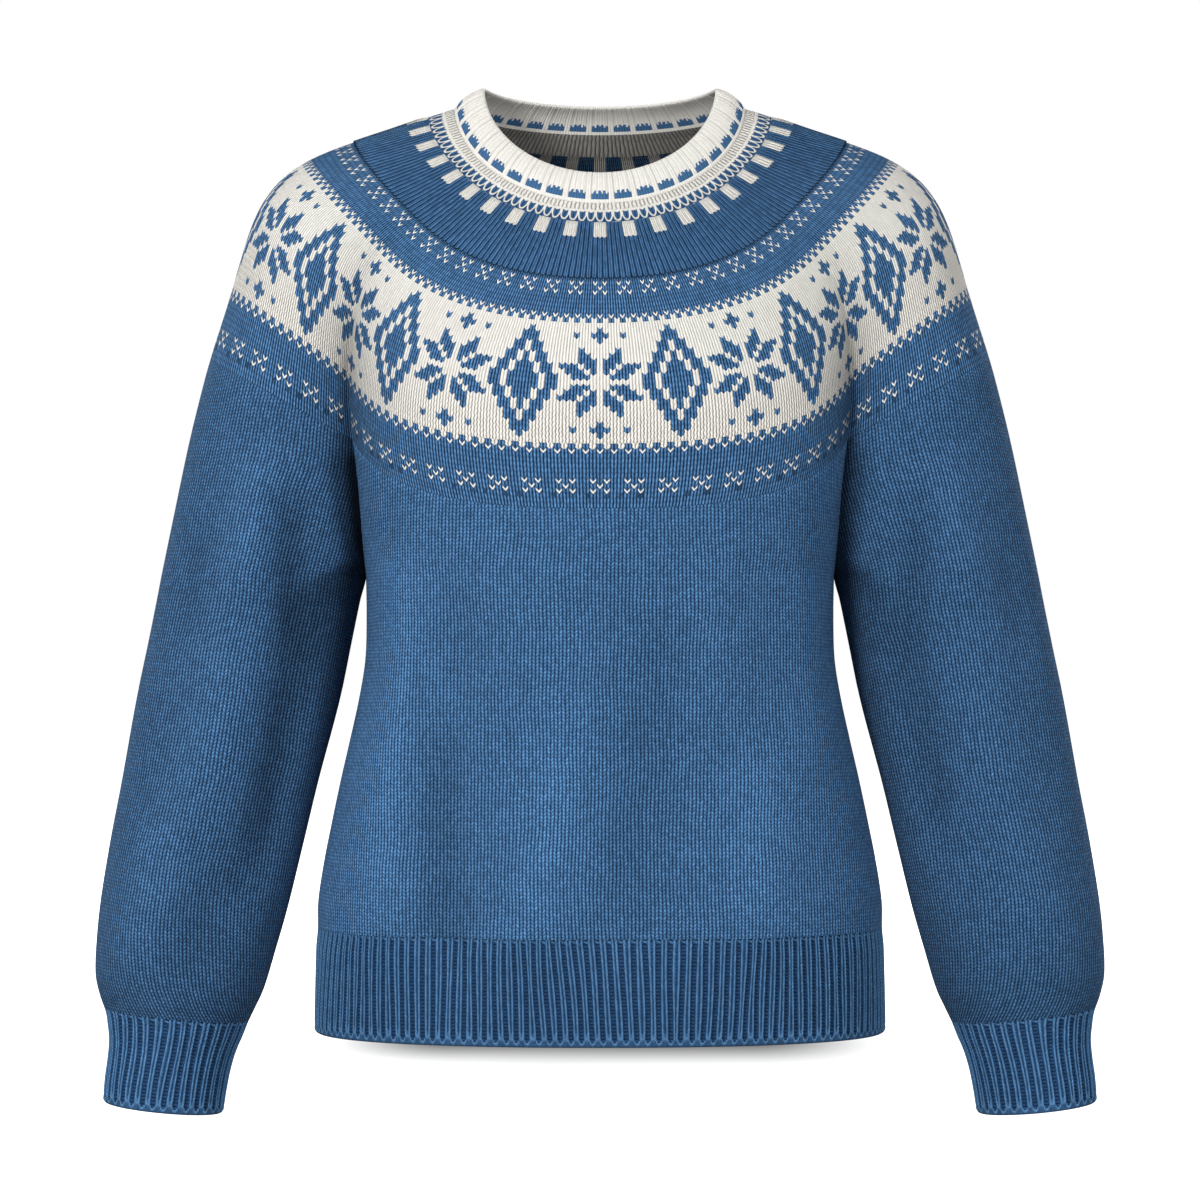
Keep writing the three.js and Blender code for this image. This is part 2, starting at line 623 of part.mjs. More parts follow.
// A closed ring of evenly spaced points with its outward directions, for the ribs
function ringSampler(line, plane) {
  const even = respace([...line, line[0]], 720);
  return (share, depth) => {
    const at = share * 720;
    const k = Math.floor(at) % 720;
    const p = even[k].clone().lerp(even[k + 1], at - Math.floor(at));
    const along = even[(k + 2) % 720].clone().sub(even[(k + 719) % 720]).normalize();
    return p.addScaledVector(along.cross(plane).normalize(), depth);
  };
}

function hemRib() {
  const up = new THREE.Vector3(0, 0, 1);
  const levels = [HEM_LOW_Z, HEM_MID_Z, HEM_TOP_Z - SEAM_GAP / 2];
  const rings = levels.map((z) => {
    const around = [...bodyLine(-1, z, 0, 0, 160).slice(0, -1), ...bodyLine(1, z, 0, 0, 160).slice(0, -1)];
    around.forEach((p) => { p.z = z; });
    return ringSampler(around, up);
  });
  return ribGeometry({
    ribs: HEM_RIBS,
    points: 2,
    every: 4,
    levels: [0, 1, 2],
    wall: BAND_WALL,
    raise: RIB_RAISE,
    place: (share, level, depth) => rings[level](share, depth),
  });
}

function cuff(side) {
  const plane = new THREE.Vector3(-side * CUFF_TILT, 0, 1).normalize();
  const levels = [CUFF_LOW_Z, -668, -648, CUFF_TOP_Z];
  const rings = levels.map((z) => {
    const around = sleeveLine(side, z, 0, 0, 160).slice(0, -1);
    if (z === CUFF_TOP_Z) around.forEach((p) => p.addScaledVector(plane, -SEAM_GAP / 2));
    return ringSampler(around, plane);
  });
  return ribGeometry({
    ribs: CUFF_RIBS,
    points: 3,
    every: 2,
    levels: [0, 1, 2, 3],
    wall: BAND_WALL,
    raise: RIB_RAISE,
    place: (share, level, depth) => rings[level](share, depth),
  });
}

// The neckband stands on the neck seam and leans in to its top edge
function neckband() {
  const turnAt = neckTurns();
  const levels = [0, 0.38, 0.8, 1];
  const place = (share, level, depth) => {
    const turn = turnAt(share);
    const t = levels[level];
    const low = neckPoint(NECK_SEAM, turn);
    const high = neckPoint(NECK_EDGE, turn);
    const frame = neckSeamFrame(turn);
    const up = high.clone().sub(low).normalize();
    const side = neckPoint(NECK_EDGE, turn + 0.01).sub(neckPoint(NECK_EDGE, turn - 0.01)).normalize();
    const outward = side.cross(up).normalize().lerp(frame.normal, 1 - Math.min(1, t * 2)).normalize();
    const bulge = NECK_BULGE * Math.sin(Math.PI * t);
    const p = low.clone().lerp(high, t).addScaledVector(outward, bulge + (t === 1 ? Math.min(depth, 0) : depth));
    if (t === 0) p.addScaledVector(frame.across, SEAM_GAP / 2);
    return p;
  };
  return ribGeometry({
    ribs: NECK_RIBS,
    points: 2,
    every: 4,
    levels: [0, 1, 2, 3],
    wall: WALL,
    raise: 0.7,
    place,
  });
}

const wool = (color) => new THREE.MeshStandardMaterial({ color, roughness: 0.95, metalness: 0 });
const BLUE = wool(0x3a6296);
const CREAM = wool(0xe6e1d8);

const jumper = new THREE.Group();

function add(name, geometry, material) {
  const mesh = new THREE.Mesh(geometry, material);
  mesh.name = name;
  jumper.add(mesh);
}

const sheets = makeSheets();
add('yoke', wallGeometry(sheets.yoke), CREAM);
add('front', wallGeometry(sheets.front), BLUE);
add('back', wallGeometry(sheets.back), BLUE);
add('sleeve_left', wallGeometry(sheets.sleeve_left), BLUE);
add('sleeve_right', wallGeometry(sheets.sleeve_right), BLUE);
add('hem_rib', hemRib(), BLUE);
add('cuff_left', cuff(-1), BLUE);
add('cuff_right', cuff(1), BLUE);
add('neckband', neckband(), CREAM);

export default jumper;
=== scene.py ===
"""Looks of the round-yoke jumper, in the frame of its solid model. Lengths here are millimetres."""

import math
from collections import namedtuple

import bpy
import numpy as np
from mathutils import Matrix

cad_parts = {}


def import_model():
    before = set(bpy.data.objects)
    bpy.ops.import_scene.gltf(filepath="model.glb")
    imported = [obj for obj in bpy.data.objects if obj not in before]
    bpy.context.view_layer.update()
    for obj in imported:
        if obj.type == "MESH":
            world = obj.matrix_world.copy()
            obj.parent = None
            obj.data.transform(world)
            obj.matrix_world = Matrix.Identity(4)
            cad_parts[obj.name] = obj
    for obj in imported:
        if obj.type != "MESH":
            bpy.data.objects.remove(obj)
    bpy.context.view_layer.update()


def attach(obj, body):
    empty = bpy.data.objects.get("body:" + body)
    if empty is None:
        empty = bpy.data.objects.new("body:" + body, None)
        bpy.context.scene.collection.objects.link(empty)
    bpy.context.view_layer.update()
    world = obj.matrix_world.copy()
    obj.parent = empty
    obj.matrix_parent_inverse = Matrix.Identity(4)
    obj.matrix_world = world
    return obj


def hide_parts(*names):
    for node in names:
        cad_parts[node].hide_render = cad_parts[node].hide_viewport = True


# Cloth thickness, one unit in metres, and points on a line before it is spaced evenly
WALL = 2.2
BAND_WALL = 2.6
MM = 0.001
FINE = 240

# Heights and the crease, as in the solid model
UNDERARM_Z = -321
CORNER_Z = -229
SLEEVE_RING_Z = -172.5
FRONT_RING_Z = -277.3
BACK_RING_Z = -252
HEM_TOP_Z = -563
HEM_LOW_Z = -634.6
CUFF_TOP_Z = -622
CUFF_LOW_Z = -686
CREASE_Y = 44
BODY_ROUND = 0.87
CUFF_TILT = 0.1

# Columns and rows of the plain panels
BODY_COLUMNS = 132
SLEEVE_COLUMNS = 96
PANEL_STEP = 3.6
CREASE_STEPS = 26

# Stitch sizes on the plain panels
WALE = 5.0
COURSE = 2.4

# How far the plain panels run up under the yoke's lower edge, and how far below it they lie
TUCK = 4.0
TUCK_DEEP = 0.3

# Ribs: their number, height, and height of the smooth rolled edge below them
RIB_RAISE = 1.7
ROLLED_EDGE = 3.2
HEM_RIBS = 140
CUFF_RIBS = 32
NECK_DASHES = 36

# Photograph: distance from the middle plane, height and lens for a square frame
CAMERA_DISTANCE = 2.8
CAMERA_Z = -0.338
CAMERA_LENS = 121.7

# Strength of the weak light from all round
WORLD_LIGHT = 0.17

# Floor, in metres: its height, half its size, and the soft painted shadow that shows under the hem from the
# front, with the sideways distances where it fades and the depths where it grows and fades
FLOOR_Z = -0.70
FLOOR_HALF = 14.0
SHADE_WIDE = (0.12, 0.29)
SHADE_NEAR = (0.27, 0.53)
SHADE_FAR = (0.52, 0.7)
SHADE_DARK = 0.9


def columns(names, rows):
    """A table of rows as one array a column."""
    return {name: np.array([row[i] for row in rows], float) for i, name in enumerate(names)}


# Body section by height: half width, depth to the front, depth to the back
BODY = columns(("z", "wide", "front", "back"), [
    (-650, 195, 114, 112),
    (-635, 195.8, 115, 113),
    (-605, 195.4, 115, 113),
    (-563, 194.4, 114, 112),
    (-545, 194.2, 114, 112),
    (-517, 190, 113, 110),
    (-490, 184.6, 111, 108),
    (-462, 178.7, 110, 106),
    (-435, 172.5, 110, 105),
    (-407, 166.3, 112, 106),
    (-380, 161.8, 114, 107),
    (-352, 160.8, 116, 109),
    (-321, 161.3, 118, 111),
    (-290, 162.6, 119, 112),
    (-255, 165, 119, 113),
    (-229, 168, 118, 113),
    (-200, 171, 117, 113),
])

# Sleeve outline by height: inner and outer distance from the middle, half depth, centre
SLEEVE = columns(("z", "inner", "outer", "deep", "middle"), [
    (-700, 260.8, 340.6, 36, -14),
    (-684, 259.3, 340.2, 36, -14),
    (-670, 257.3, 339.2, 36.5, -13.5),
    (-655, 254.3, 337.2, 37, -13),
    (-642, 250.3, 336.4, 38, -12.5),
    (-628, 244, 338.6, 40.5, -12),
    (-614, 237.6, 343.6, 45, -11.5),
    (-600, 231.2, 346.6, 48, -11),
    (-573, 222.9, 345.7, 51, -10),
    (-545, 214.6, 342.9, 53, -9),
    (-504, 204.2, 336.7, 53.5, -7),
    (-462, 193.9, 329.1, 54.5, -5),
    (-407, 179.4, 319.5, 55.5, -3),
    (-366, 171.1, 311.2, 56.5, -1),
    (-338, 165.4, 305.7, 57, 0),
    (-321, 161.3, 302.4, 57.5, 0),
    (-283, 162.8, 294.6, 58, 0),
    (-228, 168, 283, 59, 0),
    (-186, 171, 272.6, 59, 0),
    (-172, 172, 268.6, 59, 0),
    (-159, 172, 265, 59, 0),
])

# Neck seam and top edge of the neckband
NECK_SEAM = {"side": 100.5, "front": 76, "back": 62, "side_z": 0, "front_z": -71.6, "back_z": -9}
NECK_EDGE = {"side": 80, "front": 62.5, "back": 47, "side_z": 14, "front_z": -49, "back_z": 8.5}
NECK_SOFT = 0.15
NECK_BULGE = 2.2
LEAVE = {"side": (0.965, -0.26), "front": (-0.45, -0.89), "back": (0.6, -0.8)}
YOKE_REACH_LOW = 96
YOKE_REACH_HIGH = 92
SHOULDER_BULGE = 20

# Soft ridges (+) and troughs (-) of the body: face, from x0 z0 to x1 z1, width, raise
BODY_FOLDS = [
    (-1, -136, -285, -152, -560, 24, 5.5),
    (-1, -112, -430, -100, -600, 22, -5.5),
    (-1, -88, -335, -96, -400, 13, -2.4),
    (-1, -8, -400, -52, -590, 30, 4.5),
    (-1, 34, -350, 20, -560, 26, -3.6),
    (-1, 72, -330, 84, -420, 15, 2.2),
    (-1, 112, -440, 104, -570, 26, 4.5),
    (-1, 138, -300, 146, -440, 18, 3),
    (1, -118, -300, -140, -560, 26, 5.5),
    (1, -84, -420, -70, -600, 24, -5),
    (1, 20, -380, 46, -590, 30, 4.5),
    (1, 96, -420, 84, -580, 24, -4.5),
    (1, 132, -300, 148, -560, 24, 5),
]

# The same on the sleeves: side, from turn0 z0 to turn1 z1 round the arm, width, raise
SLEEVE_FOLDS = [
    (-1, 104, -235, 96, -330, 17, 5.5),
    (-1, 84, -272, 58, -366, 12, -6),
    (-1, 58, -362, 50, -520, 17, -6),
    (-1, 94, -370, 98, -480, 18, 4.5),
    (-1, 134, -290, 128, -360, 13, -2.5),
    (-1, 112, -490, 124, -590, 22, 4),
    (-1, 72, -510, 84, -590, 18, -3),
    (1, 108, -235, 102, -330, 17, 5),
    (1, 86, -280, 60, -372, 12, -5.5),
    (1, 58, -368, 52, -500, 17, -5.5),
    (1, 96, -390, 98, -490, 18, 4),
    (1, 136, -300, 130, -370, 13, -2.2),
    (1, 104, -500, 114, -590, 22, 4),
    (-1, 250, -250, 262, -400, 22, 5.5),
    (-1, 292, -330, 280, -470, 20, -5.5),
    (1, 246, -250, 256, -400, 22, 5.5),
    (1, 290, -320, 284, -480, 20, -5.5),
]

# The painted shade on the inner side of each sleeve, by depth: how far round the arm it reaches in degrees,
# how dark it is, how far past the crease it goes, and how much of it the right sleeve has
HOLLOW = columns(("depth", "turn", "tone"), [
    (172, 0, 0),
    (215, 0, 0),
    (245, 0, 24),
    (300, 20, 24),
    (325, 54, 12),
    (345, 60, 6),
    (400, 42, 5),
    (470, 24, 3),
    (560, 2, 2),
    (620, -14, 2),
])
PAST_CREASE = 14
RIGHT_SHADE = 0.6

# Colours as linear light
# Blue from painted shade in the gaps between strands to painted highlight on their tops
BLUE_IN_SHADE = (0.003, 0.02, 0.07)
BLUE_LIT = (0.1, 0.245, 0.465)
CREAM = (0.76, 0.74, 0.69)
# Painted shade seen in the small holes between stitches
HOLE_SHADE = (0.2, 0.16, 0.13)
# Painted shade on the yoke's inner face, as a share of its brightness
INSIDE_SHADE = 0.4


# Small sums

def lerp(a, b, t):
    return a + (b - a) * t


def smooth(x, low, high):
    t = np.clip((np.asarray(x, float) - low) / (high - low), 0, 1)
    return t * t * (3 - 2 * t)


def unit(v):
    return v / np.maximum(np.linalg.norm(v, axis=-1, keepdims=True), 1e-9)


def lookup(table, z, name):
    """Smooth value of one column of a table at a height."""
    rows, values = table["z"], table[name]
    z = np.asarray(z, float)
    i = np.clip(np.searchsorted(rows, z, side="left") - 1, 0, len(rows) - 2)
    before = np.maximum(i - 1, 0)
    after = np.minimum(i + 2, len(rows) - 1)
    span = rows[i + 1] - rows[i]
    t = np.clip((z - rows[i]) / span, 0, 1)
    slope_in = (values[i + 1] - values[before]) / (rows[i + 1] - rows[before])
    slope_out = (values[after] - values[i]) / (rows[after] - rows[i])
    start = (2 * t**3 - 3 * t**2 + 1) * values[i] + (t**3 - 2 * t**2 + t) * span * slope_in
    end = (3 * t**2 - 2 * t**3) * values[i + 1] + (t**3 - t**2) * span * slope_out
    return start + end


def reach_along(line):
    """Length from the first point of a line to each of its points."""
    steps = np.linalg.norm(np.diff(line[:, :3], axis=0), axis=1)
    return np.concatenate([[0], np.cumsum(steps)])


def respace(line, count):
    """Evenly spaced points along a fine line, by its length."""
    reach = reach_along(line)
    want = np.linspace(0, reach[-1], count + 1)
    return np.stack([np.interp(want, reach, line[:, k]) for k in range(line.shape[1])], axis=1)


def fold_at(across, z, fold):
    """Height of one soft ridge or trough at a place on its panel."""
    across0, z0, across1, z1, width, high = fold
    dx, dz = across1 - across0, z1 - z0
    t = np.clip(((across - across0) * dx + (z - z0) * dz) / (dx * dx + dz * dz), -0.3, 1.3)
    off = np.hypot(across - across0 - t * dx, (z - z0 - t * dz) * 0.6) / width
    ends = smooth(t, -0.3, 0.25) * (1 - smooth(t, 0.75, 1.3))
    return high * ends * np.exp(-off * off)


# The garment's surfaces. The lines of the body and sleeves carry a fourth number for painted shade and
# highlight: how far the cloth stands out on its folds, in millimetres, with painted highlight on the body's
# flanks and painted shade on the sleeves' inner sides added in

def body_line(face, z, level, edge_y, count):
    """Half a body section; level runs 0 to 1 above the underarm, where the crease cuts it."""
    depth_name = "front" if face < 0 else "back"
    ring_z = FRONT_RING_Z if face < 0 else BACK_RING_Z
    edge_z = lerp(UNDERARM_Z, CORNER_Z, level) if level > 0 else z
    wide = lookup(BODY, edge_z, "wide")
    cut = math.asin((edge_y / lookup(BODY, edge_z, depth_name)) ** (1 / BODY_ROUND))
    k = np.linspace(0, 1, FINE + 1)
    angle = lerp(math.pi - cut, cut, k)
    c = np.cos(angle) / math.cos(cut)
    s = np.maximum(np.sin(angle), 0)
    to_edge = np.abs(1 - 2 * k)
    height = np.full_like(k, z)
    if level > 0:
        height = lerp(UNDERARM_Z, lerp(ring_z, CORNER_Z, to_edge**2.3), level)
    x = wide * np.sign(c) * np.abs(c) ** BODY_ROUND
    window = smooth(s, 0.1, 0.55) * (1 - smooth(height, -330, -285))
    bend = sum(fold_at(x, height, f[1:]) for f in BODY_FOLDS if f[0] == face) * window
    y = lookup(BODY, height, depth_name) * s**BODY_ROUND + bend
    # Painted highlight on the body's flanks, stronger on the left, where the light falls
    lit_flank = np.where(x < 0, 5.0, 2.0) * (1 - smooth(s, 0.2, 0.75)) * smooth(-height, 250, 330)
    line = np.stack([x, face * y, height, bend + lit_flank], axis=1)
    return respace(line[::-1] if face > 0 else line, count)


def sleeve_line(side, z, level, edge_y, count):
    """One section of a sleeve, from the crease or inner line round the outside and back."""
    inner_z = lerp(UNDERARM_Z, CORNER_Z, level) if level > 0 else z
    outer_z = lerp(UNDERARM_Z, SLEEVE_RING_Z, level) if level > 0 else z
    tilt = CUFF_TILT * (1 - smooth(z, CUFF_TOP_Z, -450))
    inner = lookup(BODY, inner_z, "wide") if level > 0 else lookup(SLEEVE, inner_z, "inner")
    outer = lookup(SLEEVE, outer_z, "outer")
    deep = lookup(SLEEVE, inner_z, "deep")
    middle = lookup(SLEEVE, inner_z, "middle")
    open_turn = math.asin(min(max(edge_y / deep, 0), 1))
    half = (outer - inner) / (1 + math.cos(open_turn))
    centre = outer - half
    k = np.linspace(0, 1, FINE + 1)
    turn = lerp(open_turn, 2 * math.pi - open_turn, k)
    across = centre - half * np.cos(turn)
    rise = (outer_z - inner_z) * ((across - inner) / (outer - inner)) if level > 0 else 0
    lean = 0 if level > 0 else tilt * (across - centre)
    height = inner_z + rise + lean
    from_inner = np.degrees(2 * math.pi - turn if side < 0 else turn)
    free = smooth(np.minimum(k, 1 - k) * 160, 4, 24)
    window = free * (1 - smooth(height, -265, -215)) * smooth(z, -622, -600)
    bend = sum(fold_at(from_inner, height, f[1:]) for f in SLEEVE_FOLDS if f[0] == side) * window
    x = centre - (half + bend) * np.cos(turn)
    y = -(deep + bend) * np.sin(turn)
    # Painted shade on the inner side of the sleeve, carried in the fourth number with the folds; the right
    # sleeve gets less
    bound = np.interp(-height, HOLLOW["depth"], HOLLOW["turn"])
    if level > 0:
        bound = np.maximum(bound, math.degrees(open_turn) + PAST_CREASE)
    tone = np.interp(-height, HOLLOW["depth"], HOLLOW["tone"])
    shade = bend - tone * (1 - smooth(from_inner - bound, -20, 14))
    if side > 0:
        shade = shade * RIGHT_SHADE
    line = np.stack([side * x, middle + side * y, height + 0 * x, shade], axis=1)
    return respace(line, count)


def neck_point(ring, turn):
    """Points on an oval ring of the neck; turn is 0 at the front and grows towards +X."""
    c = np.cos(turn)
    soft = np.sqrt(c * c + NECK_SOFT**2) - NECK_SOFT
    full = math.sqrt(1 + NECK_SOFT**2) - NECK_SOFT
    front_drop = ring["side_z"] - ring["front_z"]
    back_drop = ring["side_z"] - ring["back_z"]
    even = (front_drop - back_drop) / 2
    drop = (front_drop + back_drop) / 2 / full
    reach = np.where(c > 0, ring["front"], ring["back"])
    z = ring["side_z"] - even * c - drop * soft
    return np.stack([ring["side"] * np.sin(turn), -reach * c, z], axis=-1)


def leave_direction(turn):
    """Unit direction in which the yoke leaves the neck."""
    s, c = np.sin(turn), np.cos(turn)
    ahead_y = np.where(c > 0, LEAVE["front"][0], LEAVE["back"][0])
    ahead_z = np.where(c > 0, LEAVE["front"][1], LEAVE["back"][1])
    flat = s * s
    x = s * LEAVE["side"][0]
    return unit(np.stack([x, np.abs(c) * ahead_y, lerp(ahead_z, LEAVE["side"][1], flat)], axis=-1))


def neck_turn(share):
    """Turn of the neck ring at a share of its length, counted from the front."""
    turns = np.linspace(0, 2 * math.pi, 1441)
    reach = reach_along(neck_point(NECK_SEAM, turns))
    return np.interp(np.mod(share, 1) * reach[-1], reach, turns)


def yoke_ring():
    """The yoke's lower edge, and the direction in which the cloth rises through it."""
    near = 0.93
    edge_near = CREASE_Y * math.sqrt(1 - (1 - near) ** 2)
    top, below = [], []
    for level, edge_y, rows in ((1, CREASE_Y, top), (near, edge_near, below)):
        rows.append(body_line(-1, 0, level, edge_y, 160)[:-1])
        rows.append(sleeve_line(1, UNDERARM_Z, level, edge_y, 120)[:-1])
        rows.append(body_line(1, 0, level, edge_y, 160)[:-1])
        rows.append(sleeve_line(-1, UNDERARM_Z, level, edge_y, 120)[:-1])
    top, below = np.concatenate(top)[:, :3], np.concatenate(below)[:, :3]
    reach = reach_along(np.concatenate([top, top[:1]]))
    shares = (reach[:-1] - reach[80]) / reach[-1]
    return top, unit(top - below), shares


def yoke_curves(shares):
    """Evenly spaced points down each column of the yoke, from the neck to the lower ring."""
    top, rise, ring_shares = yoke_ring()
    low = np.stack([np.interp(shares, ring_shares, top[:, k], period=1) for k in range(3)], axis=1)
    up = unit(np.stack([np.interp(shares, ring_shares, rise[:, k], period=1) for k in range(3)], axis=1))
    turn = neck_turn(shares)
    high, leave = neck_point(NECK_SEAM, turn), leave_direction(turn)
    p1, p2 = low + up * YOKE_REACH_LOW, high + leave * YOKE_REACH_HIGH
    outward = unit(np.stack([np.sin(turn), -np.cos(turn) * 0.4, np.full_like(turn, 0.9)], axis=1))
    t = np.linspace(0, 1, 81)[None, :, None]
    curve = (
        (1 - t) ** 3 * low[:, None]
        + 3 * (1 - t) ** 2 * t * p1[:, None]
        + 3 * (1 - t) * t**2 * p2[:, None]
        + t**3 * high[:, None]
    )
    swell = SHOULDER_BULGE * np.abs(np.sin(turn))[:, None, None] ** 3 * np.sin(math.pi * t) ** 3
    curve = curve + outward[:, None] * swell
    return np.stack([respace(line[::-1], 120) for line in curve])


def on_curves(curves, t):
    """Points at shares t, rows by columns, of the curves' lengths."""
    steps = curves.shape[1] - 1
    at = np.clip(t, 0, 1) * steps
    i = np.minimum(at.astype(int), steps - 1)
    f = (at - i)[..., None]
    column = np.arange(curves.shape[0])[None, :]
    return curves[column, i] * (1 - f) + curves[column, i + 1] * f


def grid_normals(points, ring):
    """Outward unit normals of a grid whose rows run counter-clockwise and upwards."""
    if ring:
        along = np.roll(points, -1, axis=1) - np.roll(points, 1, axis=1)
    else:
        along = np.gradient(points, axis=1)
    return unit(np.cross(along, np.gradient(points, axis=0)))


# Meshes. A stitch's style says how its yarn lies: a plain field, one light stitch alone on the dark ground, a
# long column without rows, a small gap in painted shade, painted shade under the columns' ends, or a thin
# light loop round a dark shield
PLAIN, LONE, LONG, GAP, SHADE, LOOP = 0.0, 1.0, 2.0, 3.0, 4.0, 5.0


class Cloth:
    """Collects quads with stitch coordinates and what their yarn is like, then makes one piece."""

    def __init__(self):
        self.points, self.relief_and_shade = [], []
        self.quads, self.uvs, self.rim = [], [], []
        self.yarn, self.style = [], []
        self.count = 0

    def add_points(self, points, relief_and_shade=1.0):
        """Points with a number for each that the materials turn into painted shade and highlight: how high it
        stands on its ribs, its folds' height with painted flank highlight and sleeve shade, or the yoke's
        inner shade; gives back their numbers.
        """
        start = self.count
        flat = points.reshape(-1, 3)
        self.points.append(flat)
        self.relief_and_shade.append(np.broadcast_to(relief_and_shade, points.shape[:-1]).reshape(-1))
        self.count += len(flat)
        return start + np.arange(len(flat)).reshape(points.shape[:-1])

    def add_quads(self, a, b, c, d, uvs, yarn, style, rim=False):
        quads = np.stack([a, b, c, d], axis=-1).reshape(-1, 4)
        self.quads.append(quads)
        self.uvs.append(np.stack(uvs, axis=-2).reshape(-1, 4, 2))
        self.yarn.append(np.broadcast_to(yarn, a.shape).reshape(-1))
        self.style.append(np.broadcast_to(style, a.shape).reshape(-1))
        self.rim.append(np.full(len(quads), rim))

    def add_grid(self, index, u, v, ring, yarn=0.0, style=PLAIN, flip=False):
        """Quads of a grid of vertex numbers with its stitch coordinates u and v."""
        nxt = np.roll(index, -1, axis=1) if ring else index[:, 1:]
        now = index if ring else index[:, :-1]
        step = u[0, 1] - u[0, 0]
        u_now = u if ring else u[:, :-1]
        v_now = v if ring else v[:, :-1]
        u_nxt = u + step if ring else u[:, 1:]
        v_nxt = np.roll(v, -1, axis=1) if ring else v[:, 1:]
        corners = [
            (now[:-1], u_now[:-1], v_now[:-1]),
            (nxt[:-1], u_nxt[:-1], v_nxt[:-1]),
            (nxt[1:], u_nxt[1:], v_nxt[1:]),
            (now[1:], u_now[1:], v_now[1:]),
        ]
        if flip:
            corners = corners[::-1]
        uvs = [np.stack([cu, cv], axis=-1) for _, cu, cv in corners]
        self.add_quads(*[c[0] for c in corners], uvs, yarn, style)

    def add_rim(self, outer, inner, ring, flip=False, yarn=0.0):
        """The strip between an outer and an inner row of vertex numbers."""
        a, b = (outer, np.roll(outer, -1)) if ring else (outer[:-1], outer[1:])
        d, c = (inner, np.roll(inner, -1)) if ring else (inner[:-1], inner[1:])
        zero = np.zeros(a.shape + (2,))
        order = (d, c, b, a) if flip else (a, b, c, d)
        self.add_quads(*order, [zero] * 4, yarn, PLAIN, rim=True)

    def build(self, name, node, material):
        points = np.concatenate(self.points) * MM
        quads = np.concatenate(self.quads)
        mesh = bpy.data.meshes.new(name)
        mesh.vertices.add(len(points))
        mesh.vertices.foreach_set("co", points.reshape(-1))
        mesh.loops.add(quads.size)
        mesh.loops.foreach_set("vertex_index", quads.reshape(-1).astype(np.int32))
        mesh.polygons.add(len(quads))
        mesh.polygons.foreach_set("loop_start", np.arange(0, quads.size, 4, dtype=np.int32))
        mesh.update(calc_edges=True)
        layer = mesh.uv_layers.new(name="stitches")
        layer.data.foreach_set("uv", np.concatenate(self.uvs).reshape(-1))
        kinds = (("yarn", "FACE", self.yarn), ("style", "FACE", self.style), ("relief_and_shade", "POINT", self.relief_and_shade))
        for label, domain, values in kinds:
            made = mesh.attributes.new(label, "FLOAT", domain)
            made.data.foreach_set("value", np.concatenate(values).astype(np.float32))
        flat = np.concatenate(self.rim)
        mesh.polygons.foreach_set("use_smooth", ~flat)
        mesh.materials.append(material)
        mesh.validate()
        mesh.update()
        obj = bpy.data.objects.new(name, mesh)
        bpy.context.scene.collection.objects.link(obj)
        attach(obj, "root")
        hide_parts(node)
        return obj


def crease_levels():
    """Levels above the underarm with the crease's half depth at each."""
    angles = np.radians(np.linspace(90, 0, CREASE_STEPS + 1))[1:]
    return [(1 - math.sin(a), CREASE_Y * math.cos(a)) for a in angles]


def wall_from(cloth, rows, u, v, relief_and_shade):
    """Outer and inner wall of a panel, with rims all round; rows run upwards."""
    normals = grid_normals(rows, False)
    outer = cloth.add_points(rows, relief_and_shade)
    inner = cloth.add_points(rows - normals * WALL, 0.0)
    cloth.add_grid(outer, u, v, False)
    cloth.add_grid(inner, u, v, False, flip=True)
    cloth.add_rim(outer[0], inner[0], False, flip=True)
    cloth.add_rim(outer[-1], inner[-1], False)
    cloth.add_rim(outer[:, 0], inner[:, 0], False)
    cloth.add_rim(outer[:, -1], inner[:, -1], False, flip=True)


def tucked(rows):
    """The rows with one more, which runs up under the yoke's edge."""
    normals = grid_normals(rows, False)
    rows[-1] -= normals[-1] * TUCK_DEEP / 2
    more = rows[-1] + unit(rows[-1] - rows[-2]) * TUCK - normals[-1] * TUCK_DEEP
    return np.concatenate([rows, more[None]])


def with_edges(grid, along_rows=True):
    """The grid with one more row or column close to each edge, where the rim bends the light."""
    if not along_rows:
        return np.swapaxes(with_edges(np.swapaxes(grid, 0, 1)), 0, 1)
    low, high = lerp(grid[:1], grid[1:2], 0.03), lerp(grid[-1:], grid[-2:-1], 0.03)
    return np.concatenate([grid[:1], low, grid[1:-1], high, grid[-1:]])


def make_panel(name, lines, material):
    """A plain panel from its lines, hem or cuff first."""
    lines = with_edges(with_edges(np.stack(lines)), False)
    rows = tucked(lines[..., :3])
    # Fold height with painted shade and highlight, for the material
    fold_shade = np.concatenate([lines[..., 3], lines[-1:, :, 3]])
    u, v = stitch_coordinates(rows)
    cloth = Cloth()
    wall_from(cloth, rows, u, v, fold_shade)
    return cloth.build(name, name.replace("_knit", ""), material)


def stitch_coordinates(rows):
    """Stitch columns counted from the middle of a panel by length, rows by the way up between lines."""
    steps = np.linalg.norm(np.diff(rows, axis=1), axis=2)
    reach = np.concatenate([np.zeros((len(rows), 1)), np.cumsum(steps, axis=1)], axis=1)
    u = (reach - reach[:, -1:] / 2) / WALE
    climb = np.diff(rows, axis=0)
    along = unit(np.gradient(rows, axis=1))[1:]
    climb = np.linalg.norm(climb - np.sum(climb * along, axis=2, keepdims=True) * along, axis=2)
    v = np.concatenate([np.zeros((1, rows.shape[1])), np.cumsum(climb, axis=0)], axis=0) / COURSE
    return u, v


def make_body(face, name, material):
    heights = np.arange(HEM_TOP_Z, UNDERARM_Z, PANEL_STEP)
    lines = [body_line(face, z, 0, 0, BODY_COLUMNS) for z in (*heights, UNDERARM_Z)]
    lines += [body_line(face, 0, level, edge, BODY_COLUMNS) for level, edge in crease_levels()]
    return make_panel(name, lines, material)


